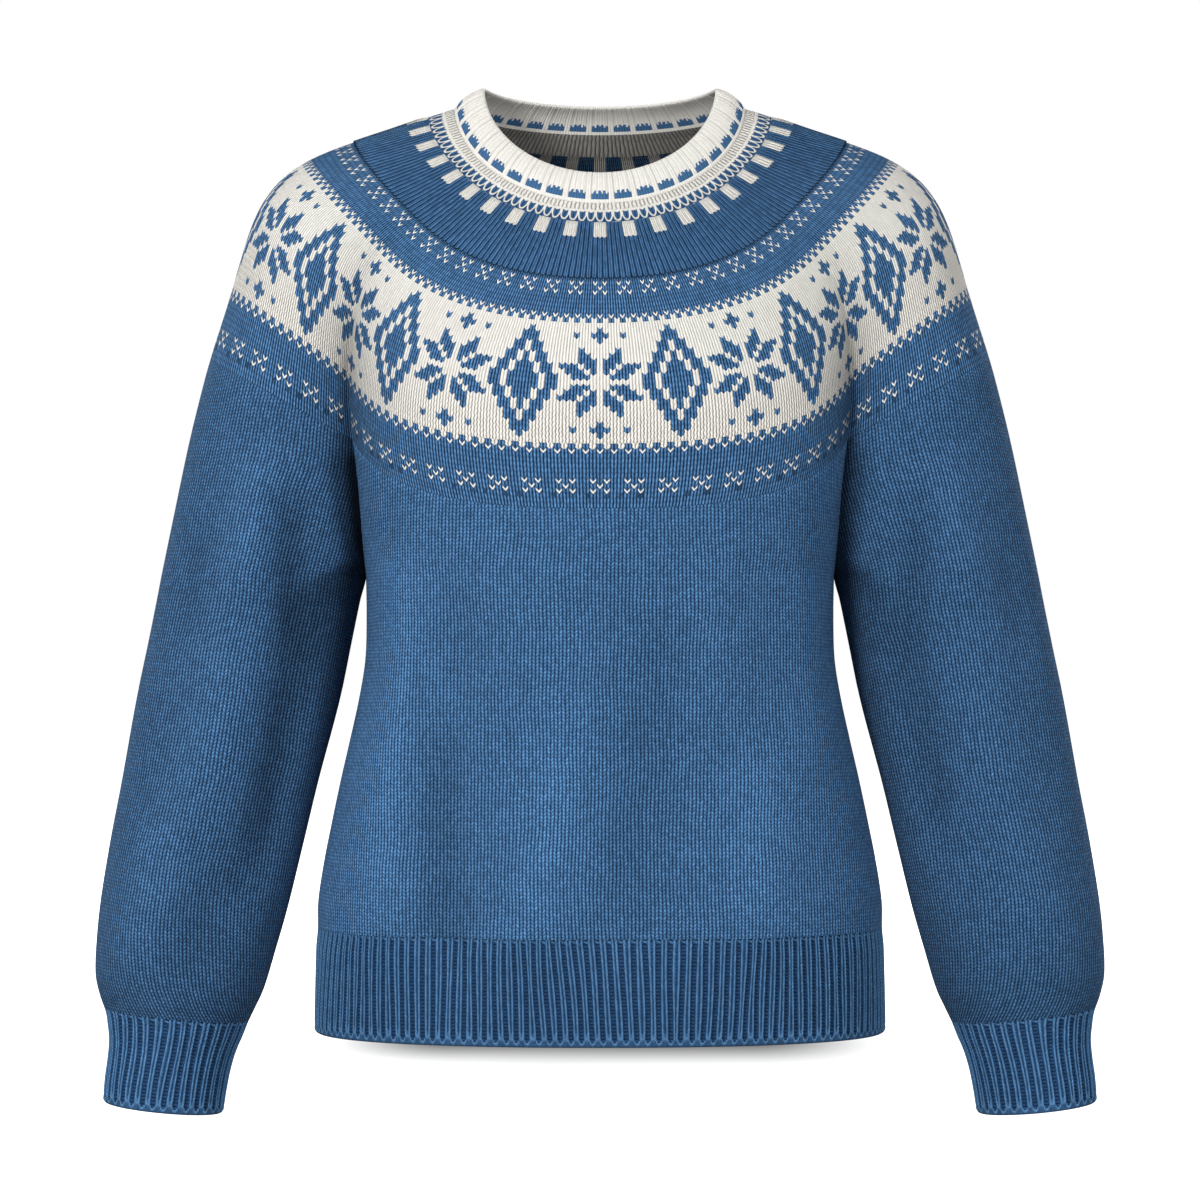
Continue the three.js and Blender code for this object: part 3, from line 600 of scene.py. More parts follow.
def make_sleeve(side, name, material):
    heights = np.arange(CUFF_TOP_Z, UNDERARM_Z, PANEL_STEP)
    lines = [sleeve_line(side, z, 0, 0, SLEEVE_COLUMNS) for z in (*heights, UNDERARM_Z)]
    lines += [sleeve_line(side, UNDERARM_Z, level, edge, SLEEVE_COLUMNS) for level, edge in crease_levels()]
    return make_panel(name, lines, material)


# The yoke's chart, worked from the neck down

def band_chart():
    """Stars, seeds and nested lozenges of the wide band, 24 stitches by 23 rows."""
    star = [
        "...#.....#...",
        "...##...##...",
        "...###.###...",
        "###.##.##.###",
        ".###.#.#.###.",
        "..###...###..",
        ".............",
    ]
    star = star + star[-2::-1]
    seed = ["......#......", "..#..###..#..", "......#......"]
    rows = []
    for r in range(23):
        left = "." * 13
        if 5 <= r <= 17:
            left = star[r - 5]
        elif 1 <= r <= 3:
            left = seed[r - 1]
        elif 19 <= r <= 21:
            left = seed[r - 19]
        wide = 5 - abs(r - 11) // 2
        right = ""
        for dx in range(-5, 6):
            blue = 1 <= r <= 21 and abs(dx) <= wide and (abs(dx) >= wide - 1 or abs(dx) <= wide - 3)
            right += "#" if blue else "."
        rows.append((left + right).replace("#", "B").replace(".", "W"))
    return rows


# Zones from the neck down: stitches round the yoke, the shares of its depth where the zone starts
# and ends, where its repeat starts at the front, how far its columns stand out, and its rows.
# Letters: W cream, B blue, V one cream stitch alone, t a small gap in painted shade, s painted shade under
# the columns, L a cream loop round a blue shield
Zone = namedtuple("Zone", "stitches start end first stand rows")
FIGURES = ["BVBVB", "BBVBB", "BVBVB"]
ZONES = [
    Zone(108, 0.0, 0.024, 0, 0.0, ["W"]),
    Zone(108, 0.024, 0.07, 0, 0.0, ["L"]),
    Zone(252, 0.07, 0.266, 1, 1.1, ["WWWBBBB"] * 4 + ["B"] * 10),
    Zone(320, 0.262, 0.42, 2, 0.0, ["s"] + FIGURES + ["B"] * 4 + ["VB", "BW"]),
    Zone(336, 0.42, 0.80, 6, 0.0, band_chart()),
    Zone(320, 0.80, 1.0, 2, 0.0, ["BW", "VB"] + ["B"] * 5 + FIGURES + ["tBBtB", "B", "B"]),
]
STYLES = {"W": PLAIN, "B": PLAIN, "V": LONE, "t": GAP, "s": SHADE, "L": LOOP}


def zone_points(zone):
    """Corner points of a zone's stitches: V-shaped inside, flat along its borders."""
    half_columns = 2 * zone.stitches
    i = np.arange(half_columns)
    shares = (i / 2 - 0.5) / zone.stitches
    rows = len(zone.rows)
    edges = np.linspace(zone.start, zone.end, rows + 1)
    depth = (zone.end - zone.start) / rows
    t = np.repeat(edges[:, None], half_columns, axis=1)
    middle = i % 2 == 1
    t[1:-1] += np.where(middle, 0.25, -0.25) * depth
    if zone.stand:
        t[-1] += np.where(middle, 0.5, -0.3) * depth
    points = on_curves(yoke_curves(shares), t)
    tall = np.where(middle, 1.0, 0.15) * zone.stand * smooth(np.arange(rows + 1), 0, 1.5)[:, None]
    normals = grid_normals(points[::-1], True)[::-1]
    return points + normals * tall[..., None]


def zone_yarn(zone):
    """Yarn colour and style of each stitch of a zone, for both halves of the stitch."""
    column = np.arange(2 * zone.stitches) // 2 + zone.first
    letters = np.array([[row[c % len(row)] for c in column] for row in zone.rows])
    yarn = np.isin(letters, ("W", "V", "L")).astype(float)
    style = np.vectorize(STYLES.get)(letters)
    return yarn, np.full(letters.shape, LONG) if zone.stand else style


def make_yoke(material):
    cloth = Cloth()
    rows_above = sum(len(zone.rows) for zone in ZONES)
    rims = []
    for zone in ZONES:
        points = with_edges(zone_points(zone)[::-1])
        normals = grid_normals(points, True)
        count = len(zone.rows)
        rows_above -= count
        half = np.arange(points.shape[1]) / 2
        u = np.repeat(half[None], count + 3, axis=0)
        v = np.repeat(with_edges(rows_above + np.arange(count + 1.0))[:, None], len(half), axis=1)
        yarn, style = (np.concatenate([rows[:1], rows, rows[-1:]]) for rows in zone_yarn(zone))
        outer = cloth.add_points(points)
        # The inner face carries painted shade
        inner = cloth.add_points(points - normals * WALL, INSIDE_SHADE)
        cloth.add_grid(outer, u, v, True, yarn[::-1], style[::-1])
        cloth.add_grid(inner, u, v, True, yarn[::-1], PLAIN, flip=True)
        if zone.stand:
            under = cloth.add_points(points[0] - normals[0] * 1.4)
            cloth.add_rim(outer[0], under, True, flip=True)
        rims.append((outer, inner))
    cloth.add_rim(rims[0][0][-1], rims[0][1][-1], True, yarn=1.0)
    cloth.add_rim(rims[-1][0][0], rims[-1][1][0], True, flip=True)
    return cloth.build("yoke_knit", "yoke", material)


# Ribbed bands: the rib's height at each of its points, from the groove in the middle of the rib
RIB_PROFILE = np.array([0.4, 0.7, 1.0, 0.35, 0.0, 0.0, 0.0, 0.35, 1.0, 0.7])
RIB_ROWS = 17


def ring_frame(line, plane):
    """Evenly spaced points of a closed ring and their outward directions."""
    closed = np.concatenate([line, line[:1]])
    even = respace(closed, 1440)
    along = np.roll(even[:-1], -1, axis=0) - np.roll(even[:-1], 1, axis=0)
    out = unit(np.cross(along, plane))
    return even, np.concatenate([out, out[:1]])


def at_share(values, share):
    """Value of a ring's evenly spaced rows at shares of its length."""
    at = np.mod(share, 1) * (len(values) - 1)
    i = np.minimum(at.astype(int), len(values) - 2)
    f = (at - i)[:, None]
    return values[i] * (1 - f) + values[i + 1] * f


def band_heights(tall):
    """Row heights of a band: close together at its rolled edge and under its top."""
    low = [0, 0.4, 1.0, 1.8, 2.7, 3.6, 4.5, 5.5, 7]
    return np.concatenate([low, np.linspace(7, tall - 1.6, RIB_ROWS)[1:], [tall - 0.7, tall - 0.1, tall]])


def rib_relief(above, below, k, profile, edge):
    """Height of the ribs from 0 to 1; each valley ends in a round U above the rolled edge."""
    per = len(profile)
    off = np.abs((k % per) / per - 0.5) / 0.25
    under = edge + 2.6 * np.minimum(off, 1.2) ** 2 - above
    ridge = np.maximum(profile[k % per], 0.4 * (1 - smooth(below, 0.0, 0.7)))
    return lerp(ridge, lerp(1.0, 0.62, smooth(under, 0.9, 3.0)), smooth(under, -0.7, 0.7))


def make_band(name, node, material, ribs, heights, ring_at):
    """A ribbed tube: ribs outside, a rolled lower edge, and ribs inside half a rib along."""
    per = len(RIB_PROFILE)
    k = np.arange(ribs * per)
    share = k / len(k)
    top, low = heights[-1], heights[0]
    chance = np.random.default_rng(ribs)
    phase = np.repeat(chance.uniform(0, 2 * math.pi, ribs), per)
    bend = np.repeat(chance.uniform(0.02, 0.07, ribs), per)
    lean = 0.5 * np.sin(6 * math.pi * share + 0.8) + 0.3 * np.sin(14 * math.pi * share)
    lean = lean * ribs / HEM_RIBS
    outer_rows, inner_rows, reliefs, inner_reliefs = [], [], [], []
    for z in heights:
        line, out = ring_at(z)
        sway = (bend * np.sin(0.07 * (z - low) + phase) + lean * (z - low) / (top - low)) / ribs
        p, o = at_share(line, share + sway), at_share(out, share + sway)
        roll = math.sqrt(max(0.0, 1 - max(0.0, 1 - (z - low) / 1.8) ** 2))
        relief_and_shade = rib_relief(z - low, top - z, k, RIB_PROFILE, ROLLED_EDGE)
        inside = rib_relief(z - low, top - z, k + per // 2, RIB_PROFILE, ROLLED_EDGE)
        swell = 0.9 * float(smooth(top - z, 0, 14))
        tuck = (1 - roll) * BAND_WALL * 0.5
        outer_rows.append(p + o * (swell + RIB_RAISE * (relief_and_shade - 1) - tuck)[:, None])
        inner_rows.append(p - o * (BAND_WALL + 0.5 * RIB_RAISE * inside - swell - tuck)[:, None])
        reliefs.append(relief_and_shade)
        inner_reliefs.append(inside)
    cloth = Cloth()
    outer = cloth.add_points(np.stack(outer_rows), np.stack(reliefs))
    inner = cloth.add_points(np.stack(inner_rows), np.stack(inner_reliefs))
    u = np.repeat((k / per)[None], len(heights), axis=0)
    v = np.repeat(((heights - top) / COURSE)[:, None], len(k), axis=1)
    cloth.add_grid(outer, u, v, True)
    cloth.add_grid(inner, u + 0.5, v, True, flip=True)
    cloth.add_rim(outer[0], inner[0], True, flip=True)
    cloth.add_rim(outer[-1], inner[-1], True)
    return cloth.build(name, node, material)


def make_hem(material):
    def ring_at(z):
        front = body_line(-1, z, 0, 0, 300)[:-1, :3]
        back = body_line(1, z, 0, 0, 300)[:-1, :3]
        return ring_frame(np.concatenate([front, back]), np.array([0, 0, 1.0]))

    heights = HEM_LOW_Z + band_heights(HEM_TOP_Z - HEM_LOW_Z)
    return make_band("hem_rib_knit", "hem_rib", material, HEM_RIBS, heights, ring_at)


def make_cuff(side, name, material):
    plane = unit(np.array([-side * CUFF_TILT, 0, 1.0]))

    def ring_at(z):
        return ring_frame(sleeve_line(side, z, 0, 0, 400)[:-1, :3], plane)

    heights = CUFF_LOW_Z + band_heights(CUFF_TOP_Z - CUFF_LOW_Z)
    return make_band(name, name.replace("_knit", ""), material, CUFF_RIBS, heights, ring_at)


# Height of the neckband's ribs along one dash: a broad soft panel, then a pair of thin ribs
NECK_PROFILE = np.array([
    0.1, 0.4, 0.6, 0.65, 0.66, 0.55, 0.38, 0.55, 0.66, 0.66, 0.55, 0.38,
    0.55, 0.66, 0.65, 0.6, 0.4, 0.1, 0.55, 1.0, 0.7, 0.7, 1.0, 0.55,
])


def neck_dashes(middle, k):
    """Which faces of the neckband are in blue yarn: dashes with an uneven upper edge."""
    per = len(NECK_PROFILE)
    phase = ((k + 0.5) % per) / per / 0.75
    peak = 0.29 + 0.04 * np.sin(math.pi * np.clip(phase, 0, 1)) - 0.055 * (k % 5 < 2)
    return (middle > 0.1) & (middle < peak) & (phase < 1)


def make_neckband(material):
    """The neckband stands on the neck seam, over a soft cord, and leans in to its rounded edge."""
    per = len(NECK_PROFILE)
    count = NECK_DASHES * per
    k = np.arange(count)
    share = (k - 9) / count
    turn = neck_turn(share)
    low, high = neck_point(NECK_SEAM, turn), neck_point(NECK_EDGE, turn)
    up = unit(high - low)
    step = 0.01
    side = unit(neck_point(NECK_EDGE, turn + step) - neck_point(NECK_EDGE, turn - step))
    seam_along = unit(neck_point(NECK_SEAM, turn + step) - neck_point(NECK_SEAM, turn - step))
    seam_out = unit(np.cross(seam_along, unit(up - leave_direction(turn))))
    edge_out = unit(np.cross(side, up))
    ridge = NECK_PROFILE[k % per]
    foot, edge = [0, 0.004, 0.02, 0.045, 0.075, 0.1], [0.95, 0.985, 1.0]
    outer_t = np.concatenate([foot, np.linspace(0.13, 0.9, 20), edge])
    rows, inner_rows, relief_and_shade = [], [], []
    for t in outer_t:
        out = unit(lerp(edge_out, seam_out, 1 - min(1, t * 2)))
        roll = math.sqrt(max(0.0, 1 - max(0.0, (t - 0.9) / 0.1) ** 2))
        body = low + (high - low) * t + out * NECK_BULGE * math.sin(math.pi * t)
        fade = float(smooth(t, 0.08, 0.16)) * roll
        cord = 0.4 * math.sin(math.pi * min(1.0, t / 0.1))
        rows.append(body + out * (cord + 0.9 * ridge * fade - (1 - roll) * WALL * 0.5)[:, None])
        inner_rows.append(body - out * (WALL - (1 - roll) * WALL * 0.5 + 0.5 * ridge * fade)[:, None])
        relief_and_shade.append(lerp(1.0, ridge, fade))
    relief_and_shade = np.stack(relief_and_shade)
    cloth = Cloth()
    outer = cloth.add_points(np.stack(rows), relief_and_shade)
    inner = cloth.add_points(np.stack(inner_rows), relief_and_shade)
    u = np.repeat((k / per)[None], len(outer_t), axis=0)
    v = np.repeat((outer_t * 10)[:, None], count, axis=1)
    middle = 0.5 * (outer_t[:-1] + outer_t[1:])[:, None]
    yarn = 1.0 - neck_dashes(middle, k[None]).astype(float)
    cloth.add_grid(outer, u, v, True, yarn)
    cloth.add_grid(inner, u, v, True, yarn, flip=True)
    cloth.add_rim(outer[0], inner[0], True, flip=True, yarn=1.0)
    cloth.add_rim(outer[-1], inner[-1], True, yarn=1.0)
    return cloth.build("neckband_knit", "neckband", material)


# Materials

class Nodes:
    """Short names for the sums of one material."""

    def __init__(self, name):
        self.material = bpy.data.materials.new(name)
        self.material.use_nodes = True
        self.tree = self.material.node_tree
        self.tree.nodes.clear()

    def node(self, kind, **settings):
        made = self.tree.nodes.new(kind)
        for key, value in settings.items():
            setattr(made, key, value)
        return made

    def link(self, value, socket):
        if isinstance(value, bpy.types.NodeSocket):
            self.tree.links.new(value, socket)
        else:
            socket.default_value = value

    def math(self, operation, *values):
        made = self.node("ShaderNodeMath", operation=operation)
        for i, value in enumerate(values):
            self.link(value, made.inputs[i])
        return made.outputs[0]

    def times(self, a, b):
        return self.math("MULTIPLY", a, b)

    def plus(self, a, b):
        return self.math("ADD", a, b)

    def minus(self, a, b):
        return self.math("SUBTRACT", a, b)

    def noise(self, vector, scale, detail=2.0, roughness=0.5):
        made = self.node("ShaderNodeTexNoise")
        self.link(vector, made.inputs["Vector"])
        made.inputs["Scale"].default_value = scale
        made.inputs["Detail"].default_value = detail
        made.inputs["Roughness"].default_value = roughness
        return made.outputs["Fac"]

    def mix(self, factor, a, b):
        """The number that lies a share of the way from a to b."""
        made = self.node("ShaderNodeMix", data_type="FLOAT")
        for i, value in ((0, factor), (2, a), (3, b)):
            self.link(value, made.inputs[i])
        return made.outputs[0]

    def step(self, value, low, high):
        """0 below low, 1 above high and smooth between."""
        made = self.node("ShaderNodeMapRange", interpolation_type="SMOOTHSTEP")
        for i, number in ((0, value), (1, low), (2, high)):
            self.link(number, made.inputs[i])
        return made.outputs[0]

    def less(self, value, low, high):
        """1 below low, 0 above high and smooth between."""
        return self.minus(1.0, self.step(value, low, high))

    def flat(self, vector):
        """The vector without its height."""
        made = self.node("ShaderNodeVectorMath", operation="MULTIPLY")
        self.link(vector, made.inputs[0])
        made.inputs[1].default_value = (1, 1, 0)
        return made.outputs[0]

    def attribute(self, label):
        return self.node("ShaderNodeAttribute", attribute_name=label).outputs["Fac"]

    def is_style(self, style, number):
        return self.math("COMPARE", style, number, 0.1)

    def with_fuzz(self, height, place):
        return self.plus(height, self.times(self.noise(place, 2200.0, 3.0, 0.7), 0.3))

    def painted_shade_near_cloth(self, distance, least):
        """Painted shade: 1 where the cloth lies open, down to the least where other cloth stands close."""
        made = self.node("ShaderNodeAmbientOcclusion", samples=4)
        made.inputs["Distance"].default_value = distance
        return self.mix(self.math("POWER", made.outputs["AO"], 1.6), least, 1.0)

    def blue(self, level):
        """Blue wool, from painted shade in the deep gaps between its strands to painted highlight on their
        tops.
        """
        return self.mix_colour(level, rgba(BLUE_IN_SHADE), rgba(BLUE_LIT))

    def bump(self, height, distance):
        made = self.node("ShaderNodeBump")
        made.inputs["Strength"].default_value = 0.9
        made.inputs["Distance"].default_value = distance
        self.link(height, made.inputs["Height"])
        return made.outputs[0]

    def shaded(self, colour, tone):
        """The colour, darker or lighter by the tone."""
        grey = self.node("ShaderNodeCombineColor")
        for i in range(3):
            self.link(tone, grey.inputs[i])
        return self.mix_colour(1.0, colour, grey.outputs[0], "MULTIPLY")

    def mix_colour(self, factor, a, b, blend="MIX"):
        made = self.node("ShaderNodeMix", data_type="RGBA", blend_type=blend)
        self.link(factor, made.inputs[0])
        self.link(a, made.inputs[6])
        self.link(b, made.inputs[7])
        return made.outputs[2]


def rgba(colour):
    return (*colour, 1.0)


def stitch_inputs(n, wander_by, drift_by, slow_by=0.0):
    """The object's own place, and stitch coordinates with a little wander, quick and slow."""
    place = n.node("ShaderNodeTexCoord").outputs["Object"]
    uv = n.node("ShaderNodeUVMap", uv_map="stitches").outputs["UV"]
    split = n.node("ShaderNodeSeparateXYZ")
    n.link(uv, split.inputs[0])
    made = [place]
    for i, scale, slow_scale, by in ((0, 240.0, 21.0, wander_by), (1, 310.0, 33.0, drift_by)):
        quick = n.times(n.minus(n.noise(place, scale, 1.0), 0.5), by)
        slow = n.times(n.minus(n.noise(place, slow_scale, 1.0), 0.5), slow_by)
        made.append(n.plus(split.outputs[i], n.plus(quick, slow)))
    return made


def from_middle(n, u):
    """0 on the middle line of a stitch or rib and 1 at its sides."""
    return n.math("ABSOLUTE", n.minus(n.times(n.math("FRACT", u), 2.0), 1.0))


def round_leg(n, value, power):
    """A rounded hump over each unit of the value."""
    return n.math("POWER", n.math("SINE", n.times(n.math("FRACT", value), math.pi)), power)


def own_tone(n, u, v, spread):
    """A brightness of its own for each leg."""
    both = n.node("ShaderNodeCombineXYZ")
    n.link(n.math("FLOOR", u), both.inputs[0])
    n.link(n.math("FLOOR", v), both.inputs[1])
    made = n.node("ShaderNodeTexWhiteNoise", noise_dimensions="2D")
    n.link(both.outputs[0], made.inputs["Vector"])
    return n.plus(1.0 - spread / 2, n.times(made.outputs["Value"], spread))


def plain_material(name, level, close_shade, trough_shade):
    """Blue wool in stocking stitch: each stitch is two slanting legs with painted shade in the gaps between;
    painted shade falls in the folds' troughs, on the sleeves' inner sides and where other cloth stands close,
    and painted highlight on the ridges and lit flanks.
    """
    n = Nodes(name)
    place, u, v = stitch_inputs(n, 0.14, 0.35, 0.8)
    fold_shade = n.attribute("relief_and_shade")
    slant = n.minus(v, n.times(from_middle(n, u), 0.7))
    legs = n.times(u, 2.0)
    across, along = round_leg(n, legs, 1.3), round_leg(n, slant, 0.9)
    leg = n.times(across, n.mix(along, 0.35, 1.0))
    # The level paints this copy of the yarn lighter or darker
    uneven = n.mix(n.noise(place, 38.0, 2.0), 0.97 * level, 1.17 * level)
    tone = n.times(own_tone(n, legs, slant, 0.4), uneven)
    # Painted shade where other cloth stands close, in the folds' troughs and by the sleeves' crease, painted
    # highlight on the ridges
    tone = n.times(tone, n.painted_shade_near_cloth(0.16, close_shade))
    tone = n.times(tone, n.mix(n.step(fold_shade, -9.0, 1.0), trough_shade, 1.0))
    tone = n.times(tone, n.mix(n.step(fold_shade, 0.0, 6.0), 1.0, 1.2))
    tone = n.times(tone, n.mix(n.step(fold_shade, -20.0, -9.0), 0.15, 1.0))
    height = n.plus(n.with_fuzz(leg, place), n.noise(place, 34.0, 1.0))
    return finish_material(n, n.shaded(n.blue(leg), tone), n.bump(height, 0.0012))


def colourwork_material(name):
    """Two yarns in stocking stitch; the style of a face says how its yarn lies. Painted shade lies in the
    gaps between legs, in small gaps and holes, under the columns' ends, on the yoke's inner face and where
    other cloth stands close; the long columns carry painted highlight, and the top rows by the neck are
    painted darker.
    """
    n = Nodes(name)
    place, u, v = stitch_inputs(n, 0.1, 0.12)
    style, light = n.attribute("style"), n.attribute("yarn")
    lone, column, gap, shade, loop = (n.is_style(style, kind) for kind in (LONE, LONG, GAP, SHADE, LOOP))
    legs = n.times(u, 2.0)
    tri, row = from_middle(n, u), n.math("FRACT", v)
    across, along = round_leg(n, legs, 0.7), round_leg(n, v, 0.5)
    field = n.times(across, n.mix(along, 0.7, 1.0))
    wale = n.times(round_leg(n, u, 1.3), n.mix(round_leg(n, legs, 1.5), 0.15, 1.3))
    twist = round_leg(n, n.plus(n.times(v, 2.0), legs), 0.5)
    long_leg = n.times(wale, n.mix(twist, 0.5, 1.0))
    off_line = n.math("ABSOLUTE", n.minus(row, n.mix(tri, 0.34, 0.6)))
    inside = n.less(tri, 0.78, 0.96)
    thin = n.mix(loop, n.times(n.less(off_line, 0.17, 0.31), inside), loop_mask(n, tri, row))
    drawn = n.math("MAXIMUM", lone, loop)
    leg = n.mix(column, n.mix(drawn, field, thin), long_leg)
    low_band = n.math("MAXIMUM", n.less(v, 15.0, 27.0), n.times(n.step(v, 59.0, 60.0), 0.7))
    # Painted shade in the small holes between the light stitches
    hole = n.times(knit_holes(n, legs, v), n.mix(low_band, 0.06, 0.95))
    white = n.mix_colour(hole, n.shaded(rgba(CREAM), n.mix(field, 0.9, 1.06)), rgba(HOLE_SHADE))
    white = n.mix_colour(column, white, n.shaded(rgba(CREAM), n.mix(long_leg, 0.92, 1.2)))
    blue = n.blue(n.mix(column, n.math("POWER", field, 2.6), long_leg))
    blue = n.shaded(blue, own_tone(n, legs, v, 0.3))
    # Painted shade in the small gaps and under the columns' ends
    tick = n.times(n.step(across, 0.7, 1.0), n.step(n.noise(place, 120.0), 0.4, 0.55))
    dark = n.plus(n.times(gap, tick), n.times(shade, n.step(row, 0.1, 0.8)))
    blue = n.shaded(blue, n.mix(dark, 1.0, 0.2))
    alone = n.mix_colour(thin, n.blue(n.times(field, 0.5)), rgba(CREAM))
    # The top rows by the neck painted darker, as they face the light
    white = n.shaded(n.mix_colour(drawn, white, alone), n.mix(n.step(v, 58.5, 60.0), 1.0, 0.8))
    colour = n.mix_colour(light, blue, white)
    uneven = n.times(own_tone(n, legs, v, 0.08), n.mix(n.noise(place, 300.0), 0.94, 1.06))
    # Painted shade on the yoke's inner face and where other cloth stands close
    tone = n.times(n.times(uneven, n.attribute("relief_and_shade")), n.painted_shade_near_cloth(0.12, 0.3))
    return finish_material(n, n.shaded(colour, tone), n.bump(n.with_fuzz(leg, place), 0.0014))


def loop_mask(n, tri, row):
    """1 on a thin U-shaped loop and above it, but for the shield that the loop holds."""
    bow = n.math("POWER", tri, 2.6)
    above = n.step(n.minus(row, n.times(bow, 0.42)), 0.02, 0.1)
    low = n.step(n.minus(row, n.times(bow, 0.9)), 0.16, 0.24)
    top = n.less(n.minus(row, n.times(tri, 0.15)), 0.7, 0.78)
    shield = n.times(n.times(low, top), n.less(tri, 0.6, 0.72))
    return n.times(above, n.minus(1.0, shield))


def knit_holes(n, legs, v):
    """1 in the small holes between the light stitches, where painted shade shows."""
    hole_v = n.math("FRACT", n.plus(v, n.times(n.math("FLOOR", legs), 0.5)))
    hole_u = n.math("ABSOLUTE", n.minus(n.math("FRACT", n.plus(legs, 0.5)), 0.5))
    wide = n.math("POWER", n.times(hole_u, 3.1), 2.0)
    tall = n.math("POWER", n.times(n.minus(hole_v, 0.5), 2.7), 2.0)
    return n.minus(1.0, n.step(n.plus(wide, tall), 0.2, 1.0))


def rib_material(name, level):
    """Blue wool in one-by-one rib: each rib is two round legs, each valley holds small bars. The valleys
    carry painted shade, the raised ribs painted highlight, and painted shade falls where other cloth stands
    close.
    """
    n = Nodes(name)
    place, u, v = stitch_inputs(n, 0.03, 0.4)
    relief_and_shade = n.attribute("relief_and_shade")
    off = n.minus(1.0, from_middle(n, u))
    slant = n.minus(v, n.times(off, 2.0))
    rope, bars = round_leg(n, slant, 0.6), round_leg(n, n.plus(v, 0.5), 0.9)
    ridge = n.times(n.mix(n.step(relief_and_shade, 0.45, 0.95), 0.15, 1.2), n.mix(rope, 0.6, 1.0))
    strand_off = n.plus(n.times(n.math("FRACT", u), 1.6), n.plus(v, -0.2))
    strand = n.less(n.math("ABSOLUTE", strand_off), 0.15, 0.4)
    valley = n.mix(strand, n.mix(bars, 0.0, 0.23), 0.75)
    raised = n.step(relief_and_shade, 0.15, 0.7)
    tone = n.times(own_tone(n, n.times(u, 2.0), slant, 0.3), n.painted_shade_near_cloth(0.13, 0.75))
    tone = n.times(tone, level)
    colour = n.shaded(n.blue(n.mix(raised, valley, ridge)), tone)
    stitch = n.times(n.mix(raised, bars, rope), 0.7)
    return finish_material(n, colour, n.bump(n.with_fuzz(stitch, place), 0.0009))


def cream_material(name):
    """Cream wool with blue dashes, in soft ribs, with painted shade on the low parts of the ribs and where
    other cloth stands close.
    """
    n = Nodes(name)
    place, u, v = stitch_inputs(n, 0.02, 0.3)
    relief_and_shade = n.attribute("relief_and_shade")
    legs = n.times(u, 8.0)
    stitch = n.times(round_leg(n, legs, 0.5), n.mix(round_leg(n, v, 0.5), 0.8, 1.0))
    tone = n.times(n.mix(n.step(relief_and_shade, 0.0, 0.8), 0.7, 0.9), own_tone(n, legs, v, 0.06))
    tone = n.times(tone, n.painted_shade_near_cloth(0.1, 0.6))
    cream = n.shaded(rgba(CREAM), n.times(tone, n.mix(stitch, 0.92, 1.0)))
    blue = n.shaded(n.blue(n.mix(stitch, 0.2, 0.6)), tone)
    colour = n.mix_colour(n.attribute("yarn"), blue, cream)
    return finish_material(n, colour, n.bump(n.with_fuzz(n.times(stitch, 0.5), place), 0.0008))


def finish_material(n, colour, normal):
    """Matt wool with a soft sheen."""
    wool = n.node("ShaderNodeBsdfPrincipled")
    n.link(colour, wool.inputs["Base Color"])
    n.link(normal, wool.inputs["Normal"])
    wool.inputs["Roughness"].default_value = 0.95
    wool.inputs["Specular IOR Level"].default_value = 0.04
    wool.inputs["Sheen Weight"].default_value = 0.02
    wool.inputs["Sheen Roughness"].default_value = 0.5
    out = n.node("ShaderNodeOutputMaterial")
    n.link(wool.outputs[0], out.inputs["Surface"])
    return n.material


# Stage, light and camera

def make_floor():
    """A pale floor that keeps soft shadows near the garment, carries a painted shadow under the hem, and
    turns white further off.
    """
    mesh = bpy.data.meshes.new("floor")
    corners = [(x * FLOOR_HALF, y * FLOOR_HALF, FLOOR_Z) for x, y in ((-1, -1), (1, -1), (1, 1), (-1, 1))]
    mesh.from_pydata(corners, [], [(0, 1, 2, 3)])
    floor = bpy.data.objects.new("floor", mesh)
    bpy.context.scene.collection.objects.link(floor)
    n = Nodes("pale floor")
    place = n.node("ShaderNodeTexCoord").outputs["Object"]
    length = n.node("ShaderNodeVectorMath", operation="LENGTH")
    n.link(n.flat(place), length.inputs[0])
    far = n.step(length.outputs["Value"], 0.35, 1.0)
    pale = n.node("ShaderNodeBsdfDiffuse")
    glow = n.node("ShaderNodeEmission")
    split = n.node("ShaderNodeSeparateXYZ")
    n.link(place, split.inputs[0])
    # Painted shadow under the hem, in a patch behind the garment
    under = n.less(n.math("ABSOLUTE", split.outputs[0]), *SHADE_WIDE)
    under = n.times(under, n.step(split.outputs[1], *SHADE_NEAR))
    under = n.times(under, n.less(split.outputs[1], *SHADE_FAR))
    # Only rays that run straight back from the front camera see the shade
    seen_from = n.node("ShaderNodeSeparateXYZ")
    n.link(n.node("ShaderNodeNewGeometry").outputs["Incoming"], seen_from.inputs[0])
    under = n.times(under, n.less(seen_from.outputs[1], -0.98, -0.9))
    bright = n.minus(1.0, n.times(under, SHADE_DARK))
    n.link(n.shaded(rgba((0.85, 0.85, 0.85)), bright), pale.inputs["Color"])
    n.link(n.times(n.mix(far, 0.84, 1.0), bright), glow.inputs["Strength"])
    seen = n.node("ShaderNodeAddShader")
    n.link(pale.outputs[0], seen.inputs[0])
    n.link(glow.outputs[0], seen.inputs[1])
    lit = n.node("ShaderNodeBsdfDiffuse")
    lit.inputs["Color"].default_value = (0.3, 0.3, 0.3, 1)
    path = n.node("ShaderNodeLightPath")
    both = n.node("ShaderNodeMixShader")
    n.link(path.outputs["Is Camera Ray"], both.inputs[0])
    n.link(lit.outputs[0], both.inputs[1])
    n.link(seen.outputs[0], both.inputs[2])
    out = n.node("ShaderNodeOutputMaterial")
    n.link(both.outputs[0], out.inputs["Surface"])
    mesh.materials.append(n.material)


